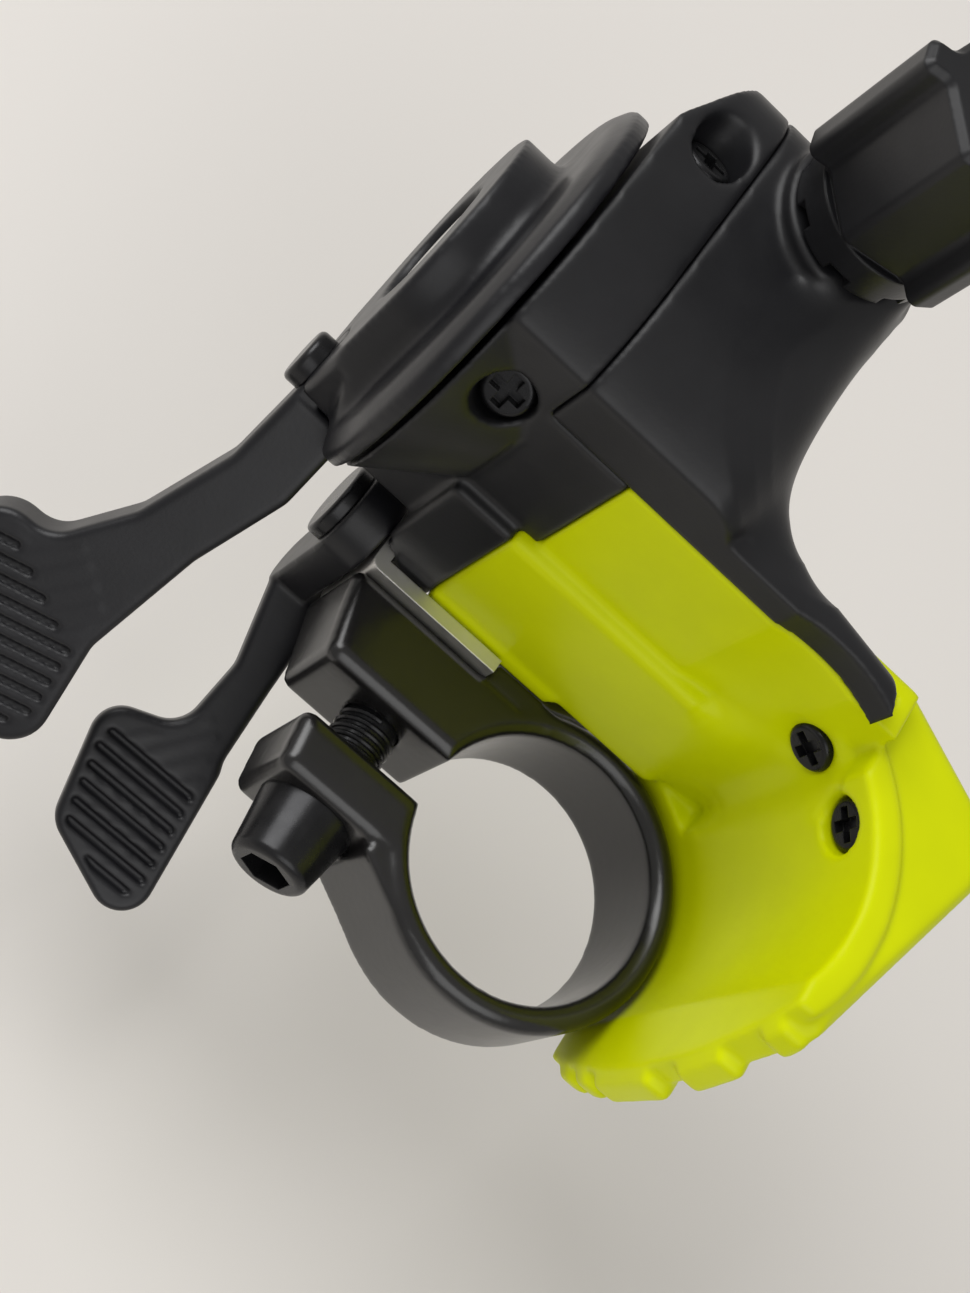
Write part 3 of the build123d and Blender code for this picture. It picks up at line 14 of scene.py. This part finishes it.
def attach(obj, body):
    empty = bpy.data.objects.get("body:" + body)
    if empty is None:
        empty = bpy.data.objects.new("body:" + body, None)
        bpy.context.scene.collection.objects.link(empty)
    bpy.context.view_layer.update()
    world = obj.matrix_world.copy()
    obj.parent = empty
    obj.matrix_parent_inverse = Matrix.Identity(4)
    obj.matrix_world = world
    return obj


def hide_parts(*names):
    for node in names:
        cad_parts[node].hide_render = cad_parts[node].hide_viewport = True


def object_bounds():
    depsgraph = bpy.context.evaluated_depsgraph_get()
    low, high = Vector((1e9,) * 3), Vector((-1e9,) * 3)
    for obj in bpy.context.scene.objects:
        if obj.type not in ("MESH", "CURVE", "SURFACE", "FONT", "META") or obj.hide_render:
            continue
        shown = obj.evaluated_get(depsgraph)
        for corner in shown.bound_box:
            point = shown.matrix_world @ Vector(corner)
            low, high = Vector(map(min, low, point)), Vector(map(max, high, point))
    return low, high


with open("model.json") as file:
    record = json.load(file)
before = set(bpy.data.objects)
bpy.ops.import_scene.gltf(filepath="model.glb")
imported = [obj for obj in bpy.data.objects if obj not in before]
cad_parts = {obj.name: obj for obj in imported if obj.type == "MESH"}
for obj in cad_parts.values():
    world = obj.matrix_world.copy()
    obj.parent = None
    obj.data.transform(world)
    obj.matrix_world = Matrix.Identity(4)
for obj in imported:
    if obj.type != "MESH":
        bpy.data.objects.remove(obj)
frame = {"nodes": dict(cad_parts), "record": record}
cad_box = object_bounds()

MM = 0.001

# Camera, where the photograph was taken from, with its place in millimetres
CAMERA_PLACE = (-76.96, 51.00, 160.02)
CAMERA_RIGHT = (0.50285, -0.72970, 0.46333)
CAMERA_UP = (0.71273, 0.65330, 0.25537)
CAMERA_LENS_MM = 61.25
CAMERA_SENSOR_MM = 36.0

# Floor and lights
FLOOR_DROP = 18 * MM
FLOOR_SIZE = 6.0
FLOOR_HEX = "DFDBD6"
WORLD_HEX = "F2F0EE"
WORLD_STRENGTH = 0.45
LIGHT_SIZE = 0.5
KEY_PLACE = (0.15, 0.45, 0.5)
KEY_TARGET = (0.01, 0.02, 0.02)
KEY_WATTS = 3.7
FILL_PLACE = (-0.45, -0.2, 0.45)
FILL_TARGET = (0.01, 0.0, 0.02)
FILL_WATTS = 1.3

# Edges of mouldings and machined pieces
SOFT_EDGE = 0.35 * MM
CRISP_EDGE = 0.15 * MM

# Moulded skins
MERGE_DISTANCE = CRISP_EDGE / 100
SKIN_VOXEL = 0.29 * MM
SKIN_PASSES = 4
LEVER_VOXEL = 0.15 * MM
LEVER_PASSES = 6
SMOOTHING = 0.5
MELT_SHARES = (1.0, 0.85, 0.7)

# Hollows where forms flow together, in millimetres
THROAT_CENTRE = (26, 8, 40)
THROAT_RADII = (12, 14, 9)
THROAT_PASSES = 230
BOWL_CENTRE = (12, -6, 18)
BOWL_RADII = (6, 7, 12)
BOWL_PASSES = 60

# Lever hub, in millimetres
PIVOT_X = 24.0
PIVOT_Z = 25.0
LEVER_ANGLE = 225.0
HUB_RIM_R = 17.5
HUB_BOSS_R = 10.5
HUB_DISH_Y = 36.7
HUB_TOP_Y = 42.0
HUB_FOOT_LOW = 0.6
HUB_FOOT_HIGH = 0.9
HUB_FOOT_PASSES = 14
HUB_ROOT_R = 17.0
HUB_ROOT_LENGTH = 6.0
HUB_ROOT_WIDTH = 4.8
TOOL_OVERLAP = 1
DRUM_SIDES = 128

# Grooved paddles of the levers, in millimetres in each lever's own frame
THUMB_PIVOT = (PIVOT_X, 0.0, PIVOT_Z)
THUMB_FACE = -2.0
THUMB_PADDLE = ((37.8, 53.8), (37.0, 52.5))
THUMB_PLANED_FROM = 33.2
THUMB_GROOVE_TURN = -15.0
RELEASE_BEND = (13.0, 0.0, -7.0)
RELEASE_ANGLE = 204.8
RELEASE_FACE = -1.3
RELEASE_PADDLE = ((20.3, 31.7), (19.9, 33.4))
RELEASE_PLANED_FROM = 14.6
GROOVE_PITCH = 1.6
GROOVE_WIDTH = 0.65
GROOVE_DEPTH = 0.45
GROOVE_FIELD = 0.82
GROOVE_FIELD_HEIGHT = 3
THUMB_GROOVE_EASE = 11.0
EASED_GROOVES = 5
PLANING_DEPTH = 2.0
PLANING_REST = 0.03

# Webs between the clamp's ears and its ring, in millimetres: place, size and turn about Z
CLAMP_WEBS = (
    ((12.5, 7.6, -0.4), (11.4, 3.2, 9.6), 106.0),
    ((11.05, 8.8, 0.0), (1.7, 7.2, 10.7), 0.0),
    ((-9.45, 8.92, 0.0), (7.7, 1.8, 10.3), 62.5),
)

# Lips of the covers beside the clamp's bracket, in millimetres
TOP_LIP = ((13.6, 13.9, 5.7), (3.3, 13.8, 1.6))
BOTTOM_LIP = ((13.3, 22.9, 5.7), (2.7, 4.2, 1.6))

# Clamp bolt between the ears
BOLT_Y = 17.0 * MM
BOLT_R = 2.5 * MM
THREAD_PITCH = 0.8 * MM
THREAD_RIDGE = 0.26 * MM
THREAD_TURNS = 5
THREAD_SIDES = 6
THREAD_STEPS = 40


def linear(hex_colour):
    """An sRGB hex colour as linear red, green, blue and alpha."""
    channels = []
    for i in range(0, 6, 2):
        value = int(hex_colour[i:i + 2], 16) / 255
        channels.append(value / 12.92 if value <= 0.04045 else ((value + 0.055) / 1.055) ** 2.4)
    return (*channels, 1.0)


def add(tree, kind, settings=None, links=None):
    """Add a node. Settings go to its sockets or its own fields, links come from other nodes' sockets."""
    made = tree.nodes.new(kind)
    for name, value in (settings or {}).items():
        if name in made.inputs:
            made.inputs[name].default_value = value
        else:
            setattr(made, name, value)
    for name, source in (links or {}).items():
        tree.links.new(source, made.inputs[name])
    return made


def new_material(name):
    """An empty material with its tree, its output and Object coordinates."""
    material = bpy.data.materials.new(name)
    material.use_nodes = True
    tree = material.node_tree
    tree.nodes.clear()
    place = add(tree, "ShaderNodeTexCoord").outputs["Object"]
    return material, tree, place


def finish_material(tree, shader):
    """Send a shader to its material's output."""
    add(tree, "ShaderNodeOutputMaterial", links={"Surface": shader.outputs[0]})


def two_tone(tree, place, size, dark, light):
    """Slow change between two shades of one colour, over patches of the given size."""
    patches = add(tree, "ShaderNodeTexNoise", {"Scale": 1 / size, "Detail": 3.0}, {"Vector": place})
    ramp = add(tree, "ShaderNodeValToRGB", links={"Fac": patches.outputs["Fac"]})
    ramp.color_ramp.elements[0].position = 0.3
    ramp.color_ramp.elements[0].color = linear(dark)
    ramp.color_ramp.elements[1].position = 0.7
    ramp.color_ramp.elements[1].color = linear(light)
    return ramp.outputs["Color"]


def grain(tree, place, size, depth, edge):
    """Fine grain over edges that are rounded by a small radius."""
    rounded = add(tree, "ShaderNodeBevel", {"samples": 4, "Radius": edge})
    bumps = add(tree, "ShaderNodeTexNoise", {"Scale": 1 / size, "Detail": 2.0}, {"Vector": place})
    relief = add(tree, "ShaderNodeBump", {"Strength": 1.0, "Distance": depth},
                 {"Height": bumps.outputs["Fac"], "Normal": rounded.outputs["Normal"]})
    return relief.outputs["Normal"]


def uneven(tree, place, size, low, high):
    """Roughness that wanders between two values, as handling leaves it."""
    patches = add(tree, "ShaderNodeTexNoise", {"Scale": 1 / size, "Detail": 4.0}, {"Vector": place})
    spread = add(tree, "ShaderNodeMapRange", {"To Min": low, "To Max": high},
                 {"Value": patches.outputs["Fac"]})
    return spread.outputs["Result"]


def lime_abs():
    """Moulded ABS, lime yellow: an even satin skin that takes soft, broad highlights."""
    material, tree, place = new_material("lime_abs_moulded")
    shader = add(tree, "ShaderNodeBsdfPrincipled", {"IOR": 1.52, "Specular IOR Level": 0.12}, {
        "Base Color": two_tone(tree, place, 9 * MM, "CAD400", "D2DC00"),
        "Roughness": uneven(tree, place, 3 * MM, 0.28, 0.4),
        "Normal": grain(tree, place, 0.5 * MM, 0.006 * MM, SOFT_EDGE)})
    finish_material(tree, shader)
    return material


def black_nylon(name, dark, light, low, high):
    """Glass-filled nylon, moulded black: a spark-eroded grain that scatters the light to grey."""
    material, tree, place = new_material(name)
    shader = add(tree, "ShaderNodeBsdfPrincipled", {"IOR": 1.53, "Specular IOR Level": 0.32}, {
        "Base Color": two_tone(tree, place, 7 * MM, dark, light),
        "Roughness": uneven(tree, place, 2.5 * MM, low, high),
        "Normal": grain(tree, place, 0.35 * MM, 0.007 * MM, SOFT_EDGE)})
    finish_material(tree, shader)
    return material


def painted_alloy():
    """Cast aluminium under black powder coat: satin, with a faint orange peel."""
    material, tree, place = new_material("black_powder_coat")
    shader = add(tree, "ShaderNodeBsdfPrincipled", {"IOR": 1.5, "Coat Weight": 0.2, "Coat Roughness": 0.2}, {
        "Base Color": two_tone(tree, place, 6 * MM, "151414", "1B1A1A"),
        "Roughness": uneven(tree, place, 2 * MM, 0.18, 0.28),
        "Normal": grain(tree, place, 0.8 * MM, 0.012 * MM, SOFT_EDGE)})
    finish_material(tree, shader)
    return material


def black_oxide():
    """Steel blackened with oxide: dark metal with a slight oily gloss."""
    material, tree, place = new_material("black_oxide_steel")
    shader = add(tree, "ShaderNodeBsdfPrincipled", {"Metallic": 0.6}, {
        "Base Color": two_tone(tree, place, 3 * MM, "1D1D1F", "2A2A2B"),
        "Roughness": uneven(tree, place, 1 * MM, 0.22, 0.34),
        "Normal": grain(tree, place, 0.3 * MM, 0.004 * MM, CRISP_EDGE)})
    finish_material(tree, shader)
    return material


def zinc_plate():
    """Zinc-plated steel: bright metal with fine rolling marks."""
    material, tree, place = new_material("zinc_plated_steel")
    shader = add(tree, "ShaderNodeBsdfPrincipled", {"Metallic": 1.0}, {
        "Base Color": two_tone(tree, place, 4 * MM, "DEDCD8", "ECEAE6"),
        "Roughness": uneven(tree, place, 0.8 * MM, 0.42, 0.56),
        "Normal": grain(tree, place, 0.25 * MM, 0.004 * MM, CRISP_EDGE)})
    finish_material(tree, shader)
    return material


def spring_wire():
    """Drawn spring wire: grey steel with a dull polish."""
    material, tree, place = new_material("drawn_spring_wire")
    shader = add(tree, "ShaderNodeBsdfPrincipled", {"Metallic": 1.0}, {
        "Base Color": two_tone(tree, place, 2 * MM, "8C8C8F", "A4A4A6"),
        "Roughness": uneven(tree, place, 0.6 * MM, 0.28, 0.42)})
    finish_material(tree, shader)
    return material


def plain_acetal():
    """Natural acetal: a milky white, slippery plastic."""
    material, tree, place = new_material("natural_acetal")
    shader = add(tree, "ShaderNodeBsdfPrincipled", {"IOR": 1.48}, {
        "Base Color": two_tone(tree, place, 5 * MM, "DEDCD4", "E6E4DD"),
        "Roughness": uneven(tree, place, 2 * MM, 0.35, 0.5),
        "Normal": grain(tree, place, 0.4 * MM, 0.004 * MM, CRISP_EDGE)})
    finish_material(tree, shader)
    return material


def clear_pane():
    """Clear polycarbonate: a glassy pane that shows the scale behind it."""
    material, tree, place = new_material("clear_polycarbonate")
    shader = add(tree, "ShaderNodeBsdfPrincipled", {
        "Base Color": linear("F4F7F6"), "IOR": 1.58, "Transmission Weight": 1.0}, {
        "Roughness": uneven(tree, place, 3 * MM, 0.03, 0.08)})
    finish_material(tree, shader)
    return material


def scale_card():
    """Printed scale: matt white film."""
    material, tree, place = new_material("matt_scale_film")
    shader = add(tree, "ShaderNodeBsdfPrincipled", {"IOR": 1.49}, {
        "Base Color": two_tone(tree, place, 4 * MM, "DFDFDB", "E8E8E4"),
        "Roughness": uneven(tree, place, 1 * MM, 0.5, 0.65)})
    finish_material(tree, shader)
    return material


def pointer_orange():
    """Moulded acrylic pointer: signal orange with a clean gloss."""
    material, tree, place = new_material("orange_acrylic")
    shader = add(tree, "ShaderNodeBsdfPrincipled", {"IOR": 1.49}, {
        "Base Color": two_tone(tree, place, 3 * MM, "DD5A1C", "E66422"),
        "Roughness": uneven(tree, place, 2 * MM, 0.18, 0.3)})
    finish_material(tree, shader)
    return material


def ring_rubber():
    """Nitrile rubber: black with a dull sheen."""
    material, tree, place = new_material("nitrile_rubber")
    shader = add(tree, "ShaderNodeBsdfPrincipled", {"IOR": 1.52, "Sheen Weight": 0.1}, {
        "Base Color": two_tone(tree, place, 2 * MM, "1A1A1A", "222222"),
        "Roughness": uneven(tree, place, 0.5 * MM, 0.6, 0.75)})
    finish_material(tree, shader)
    return material


def dress_nodes():
    """Give every CAD node the finish of its material slot."""
    finishes = {
        "yellow_cover": lime_abs(),
        "black_housing": black_nylon("black_nylon_housing", "151517", "1B1B1D", 0.32, 0.44),
        "black_lever": black_nylon("black_nylon_lever", "141417", "1A1A1D", 0.3, 0.42),
        "black_adjuster": black_nylon("black_nylon_adjuster", "161618", "1C1C1E", 0.28, 0.4),
        "black_alloy": painted_alloy(),
        "black_steel": black_oxide(),
        "plated_steel": zinc_plate(),
        "spring_steel": spring_wire(),
        "white_acetal": plain_acetal(),
        "clear_pane": clear_pane(),
        "scale_plate": scale_card(),
        "pointer_plastic": pointer_orange(),
        "ring_rubber": ring_rubber(),
    }
    for row in frame["record"]["subparts"]:
        node = frame["nodes"][row["node"]]
        node.data.materials.clear()
        node.data.materials.append(finishes[row["material_slot"]])
    return finishes


def select_only(piece):
    """Make a piece the only selected one, and the active one."""
    bpy.ops.object.select_all(action="DESELECT")
    piece.select_set(True)
    bpy.context.view_layer.objects.active = piece


def in_edit_mode(piece, operators):
    """Run mesh operators on all of a piece."""
    select_only(piece)
    bpy.ops.object.mode_set(mode="EDIT")
    bpy.ops.mesh.select_all(action="SELECT")
    for operator, settings in operators:
        operator(**settings)
    bpy.ops.object.mode_set(mode="OBJECT")


def apply_modifier(piece, kind, **settings):
    """Give a piece a modifier and fix its result in the mesh."""
    select_only(piece)
    modifier = piece.modifiers.new(kind.lower(), kind)
    for name, value in settings.items():
        setattr(modifier, name, value)
    bpy.ops.object.modifier_apply(modifier=modifier.name)


def copy_of(node):
    """A closed mesh of a CAD node, as the start of a new piece."""
    piece = bpy.data.objects.new(node + "_skin", frame["nodes"][node].data.copy())
    bpy.context.scene.collection.objects.link(piece)
    in_edit_mode(piece, [(bpy.ops.mesh.remove_doubles, {"threshold": MERGE_DISTANCE})])
    return piece


def cube(location, rotation, size):
    """A cube stretched to a size in millimetres."""
    bpy.ops.object.select_all(action="DESELECT")
    bpy.ops.mesh.primitive_cube_add(
        size=1, location=location, rotation=rotation, scale=[v * MM for v in size])
    made = bpy.context.object
    bpy.ops.object.transform_apply(location=True, rotation=True, scale=True)
    return made


def block(place, size, turn=0.0):
    """A block in the part's frame, turned about Z."""
    return cube([v * MM for v in place], (0, 0, radians(turn)), size)


def lever_block(place, centre, size):
    """A block in a lever's own frame."""
    matrix = place @ Matrix.Translation(Vector(centre) * MM)
    return cube(matrix.to_translation(), matrix.to_euler(), size)


def join(piece, tool):
    """Make a tool's shape part of a piece, and take the tool out of the scene."""
    apply_modifier(piece, "BOOLEAN", operation="UNION", solver="EXACT", object=tool)
    bpy.data.objects.remove(tool)


def cut(piece, tool):
    """Take a tool's shape out of a piece, and the tool out of the scene."""
    apply_modifier(piece, "BOOLEAN", operation="DIFFERENCE", solver="EXACT", object=tool)
    bpy.data.objects.remove(tool)


def mould(piece, node, body, voxel=SKIN_VOXEL, passes=SKIN_PASSES):
    """Give a piece the softened edges that a mould leaves, and put it in its node's place."""
    apply_modifier(piece, "REMESH", mode="VOXEL", voxel_size=voxel)
    in_edit_mode(piece, [(bpy.ops.mesh.vertices_smooth, {"factor": SMOOTHING, "repeat": passes})])
    bpy.ops.object.shade_smooth()
    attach(piece, body)
    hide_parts(node)
    return piece


def melt(piece, inside, passes):
    """Flow the forms of one region into each other."""
    select_only(piece)
    bpy.ops.object.mode_set(mode="EDIT")
    bpy.ops.mesh.select_mode(type="VERT")
    bpy.ops.mesh.select_all(action="DESELECT")
    bpy.ops.object.mode_set(mode="OBJECT")
    places = np.empty(3 * len(piece.data.vertices))
    piece.data.vertices.foreach_get("co", places)
    piece.data.vertices.foreach_set("select", inside(places.reshape(-1, 3) / MM))
    bpy.ops.object.mode_set(mode="EDIT")
    bpy.ops.mesh.vertices_smooth(factor=SMOOTHING, repeat=passes)
    bpy.ops.object.mode_set(mode="OBJECT")


def melt_round(piece, centre, radii, passes):
    """Melt an ellipsoid, most at its middle."""
    for share in MELT_SHARES:
        reach = np.array(radii) * share
        melt(piece, lambda places: (((places - centre) / reach) ** 2).sum(axis=1) < 1, passes)


def housing_skin():
    """Main housing, whose boss sweeps down into the tail in one curve."""
    skin = mould(copy_of("main_housing"), "main_housing", "shifter_body")
    melt_round(skin, THROAT_CENTRE, THROAT_RADII, THROAT_PASSES)


def bottom_skin():
    """Bottom cover, which closes up to the clamp's bracket."""
    cover = copy_of("bottom_cover")
    join(cover, block(*BOTTOM_LIP))
    mould(cover, "bottom_cover", "shifter_body")


def cover_skin():
    """Top cover, whose pad runs out into the bowl round the bar."""
    cover = copy_of("top_cover")
    join(cover, block(*TOP_LIP))
    skin = mould(cover, "top_cover", "shifter_body")
    melt_round(skin, BOWL_CENTRE, BOWL_RADII, BOWL_PASSES)


def pivot_drum(radius, low, high):
    """A round block about the lever's pivot."""
    bpy.ops.object.select_all(action="DESELECT")
    bpy.ops.mesh.primitive_cylinder_add(
        vertices=DRUM_SIDES, radius=radius * MM, depth=(high - low) * MM,
        location=(PIVOT_X * MM, (low + high) / 2 * MM, PIVOT_Z * MM), rotation=(pi / 2, 0, 0))
    drum = bpy.context.object
    bpy.ops.object.transform_apply(location=True, rotation=True, scale=True)
    return drum


def hub_boss():
    """The drop-shaped boss that stays when the hub's dish is turned out."""
    low = HUB_DISH_Y - TOOL_OVERLAP
    boss = pivot_drum(HUB_BOSS_R, low, HUB_TOP_Y)
    reach = HUB_ROOT_R * MM
    root_x = PIVOT_X * MM + reach * cos(radians(LEVER_ANGLE))
    root_z = PIVOT_Z * MM + reach * sin(radians(LEVER_ANGLE))
    bpy.ops.object.mode_set(mode="EDIT")
    bpy.ops.mesh.primitive_cube_add(
        size=1, rotation=(0, radians(360 - LEVER_ANGLE), 0),
        location=(root_x, (low + HUB_TOP_Y) / 2 * MM, root_z),
        scale=(HUB_ROOT_LENGTH * MM, (HUB_TOP_Y - low) * MM, HUB_ROOT_WIDTH * MM))
    bpy.ops.mesh.select_all(action="SELECT")
    bpy.ops.mesh.convex_hull()
    bpy.ops.object.mode_set(mode="OBJECT")
    return boss


def hub_foot(places):
    """The ring where the boss of the hub meets its dish."""
    above = places[:, 1] > HUB_DISH_Y - HUB_FOOT_LOW
    below = places[:, 1] < HUB_DISH_Y + HUB_FOOT_HIGH
    return above & below


def hub_skin():
    """Lever hub: a shallow dish with a bevelled rim round a tall drop-shaped boss."""
    dish = pivot_drum(HUB_RIM_R + TOOL_OVERLAP, HUB_DISH_Y, HUB_TOP_Y)
    cut(dish, hub_boss())
    hub = copy_of("lever_hub")
    cut(hub, dish)
    skin = mould(hub, "lever_hub", "thumb_lever")
    melt(skin, hub_foot, HUB_FOOT_PASSES)


def clamp_skin():
    """Bar clamp: a cast ring whose ears run into it over webs."""
    clamp = copy_of("bar_clamp")
    for web in CLAMP_WEBS:
        join(clamp, block(*web))
    mould(clamp, "bar_clamp", "shifter_body")


def groove_field(node, place, middle):
    """The lever's outline drawn in about its paddle's middle, which the grooves stay inside."""
    field = copy_of(node)
    shrink = Matrix.Diagonal((GROOVE_FIELD, GROOVE_FIELD, GROOVE_FIELD_HEIGHT, 1))
    local = Matrix.Translation(middle * MM) @ shrink @ Matrix.Translation(-middle * MM)
    field.data.transform(place @ local @ place.inverted())
    return field


def grooved(node, pivot, angle, face, paddle, planed_from, turn, ease):
    """A lever whose paddle is planed flat and then grooved. Grooves near the arm are shorter by the ease."""
    place = Matrix.Translation(Vector(pivot) * MM) @ Matrix.Rotation(radians(-angle), 4, "Y")
    (x0, x1), (y0, y1) = paddle
    middle = Vector(((x0 + x1) / 2, (y0 + y1) / 2, 0))
    width = y1 - y0
    lever = copy_of(node)
    planed_at = (x1, middle.y, face - PLANING_REST - PLANING_DEPTH / 2)
    cut(lever, lever_block(place, planed_at, (2 * (x1 - planed_from), 2 * width, PLANING_DEPTH)))
    field = groove_field(node, place, middle)
    count = int((x1 - x0) / GROOVE_PITCH)
    for i in range(count):
        x = middle.x + (i - (count - 1) / 2) * GROOVE_PITCH
        line = place @ Matrix.Translation(Vector((x, middle.y, face)) * MM)
        line = line @ Matrix.Rotation(radians(turn), 4, "Z")
        low = ease * max(0, 1 - i / EASED_GROOVES) - width / 2
        size = (GROOVE_WIDTH, width - low, 2 * GROOVE_DEPTH)
        bar = lever_block(line, (0, (low + width) / 2, 0), size)
        apply_modifier(bar, "BOOLEAN", operation="INTERSECT", solver="EXACT", object=field)
        cut(lever, bar)
    bpy.data.objects.remove(field)
    mould(lever, node, node, LEVER_VOXEL, LEVER_PASSES)


def bolt_thread(finish):
    """Rolled thread of the clamp bolt, seen between the clamp's ears."""
    bpy.ops.object.select_all(action="DESELECT")
    start = (-THREAD_TURNS * THREAD_PITCH / 2, BOLT_Y, 0)
    bpy.ops.mesh.primitive_circle_add(
        vertices=THREAD_SIDES, radius=THREAD_RIDGE, location=start, rotation=(pi / 2, 0, 0))
    thread = bpy.context.object
    thread.name = "bolt_thread"
    bpy.ops.object.transform_apply(location=False, rotation=True, scale=False)
    bpy.ops.object.mode_set(mode="EDIT")
    bpy.ops.mesh.select_all(action="SELECT")
    bpy.ops.transform.translate(value=(0, 0, BOLT_R))
    bpy.ops.object.mode_set(mode="OBJECT")
    screw = thread.modifiers.new("turns", "SCREW")
    screw.axis = "X"
    screw.screw_offset = THREAD_PITCH
    screw.iterations = THREAD_TURNS
    screw.steps = THREAD_STEPS
    screw.render_steps = THREAD_STEPS
    bpy.ops.object.modifier_apply(modifier=screw.name)
    bpy.ops.object.transform_apply(location=True, rotation=False, scale=False)
    bpy.ops.object.mode_set(mode="EDIT")
    bpy.ops.mesh.select_all(action="SELECT")
    bpy.ops.mesh.normals_make_consistent(inside=False)
    bpy.ops.object.mode_set(mode="OBJECT")
    bpy.ops.object.shade_smooth_by_angle()
    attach(thread, "shifter_body")
    thread.data.materials.append(finish)


def place_camera():
    """Stand the camera where the photographer stood."""
    right = Vector(CAMERA_RIGHT).normalized()
    back = right.cross(Vector(CAMERA_UP)).normalized()
    up = back.cross(right)
    camera = bpy.data.objects.new("camera", bpy.data.cameras.new("camera"))
    camera.data.sensor_fit = "VERTICAL"
    camera.data.sensor_height = CAMERA_SENSOR_MM
    camera.data.lens = CAMERA_LENS_MM
    camera.data.clip_start = 1 * MM
    turn = Matrix((right, up, back)).transposed().to_4x4()
    camera.matrix_world = Matrix.Translation(Vector(CAMERA_PLACE) * MM) @ turn
    bpy.context.scene.collection.objects.link(camera)
    bpy.context.scene.camera = camera


def soft_light(name, place, target, size, power):
    """A square studio light that faces a point of the object."""
    lamp = bpy.data.objects.new(name, bpy.data.lights.new(name, "AREA"))
    lamp.data.size = size
    lamp.data.energy = power
    lamp.location = place
    lamp.rotation_euler = (Vector(target) - Vector(place)).to_track_quat("-Z", "Y").to_euler()
    bpy.context.scene.collection.objects.link(lamp)


def light_studio():
    """A plain bright room, with a key light on the hub's side and a fill light on the bar's side."""
    scene = bpy.context.scene
    scene.view_settings.view_transform = "Standard"
    scene.world = bpy.data.worlds.new("studio")
    scene.world.use_nodes = True
    sky = scene.world.node_tree.nodes["Background"]
    sky.inputs["Color"].default_value = linear(WORLD_HEX)
    sky.inputs["Strength"].default_value = WORLD_STRENGTH
    soft_light("key", KEY_PLACE, KEY_TARGET, LIGHT_SIZE, KEY_WATTS)
    soft_light("fill", FILL_PLACE, FILL_TARGET, LIGHT_SIZE, FILL_WATTS)


def lay_floor():
    """A wide sheet of pale paper below the part."""
    bpy.ops.object.select_all(action="DESELECT")
    bpy.ops.mesh.primitive_plane_add(size=FLOOR_SIZE, location=(0, 0, cad_box[0][2] - FLOOR_DROP))
    floor = bpy.context.object
    floor.name = "floor"
    material, tree, _ = new_material("pale_paper")
    shader = add(tree, "ShaderNodeBsdfPrincipled", {"Base Color": linear(FLOOR_HEX), "Roughness": 0.9})
    finish_material(tree, shader)
    floor.data.materials.append(material)


finishes = dress_nodes()
housing_skin()
bottom_skin()
cover_skin()
hub_skin()
clamp_skin()
grooved("thumb_lever", THUMB_PIVOT, LEVER_ANGLE, THUMB_FACE, THUMB_PADDLE, THUMB_PLANED_FROM,
        THUMB_GROOVE_TURN, THUMB_GROOVE_EASE)
grooved("release_lever", RELEASE_BEND, RELEASE_ANGLE, RELEASE_FACE, RELEASE_PADDLE,
        RELEASE_PLANED_FROM, 0.0, 0.0)
bolt_thread(finishes["black_steel"])
place_camera()
light_studio()
lay_floor()
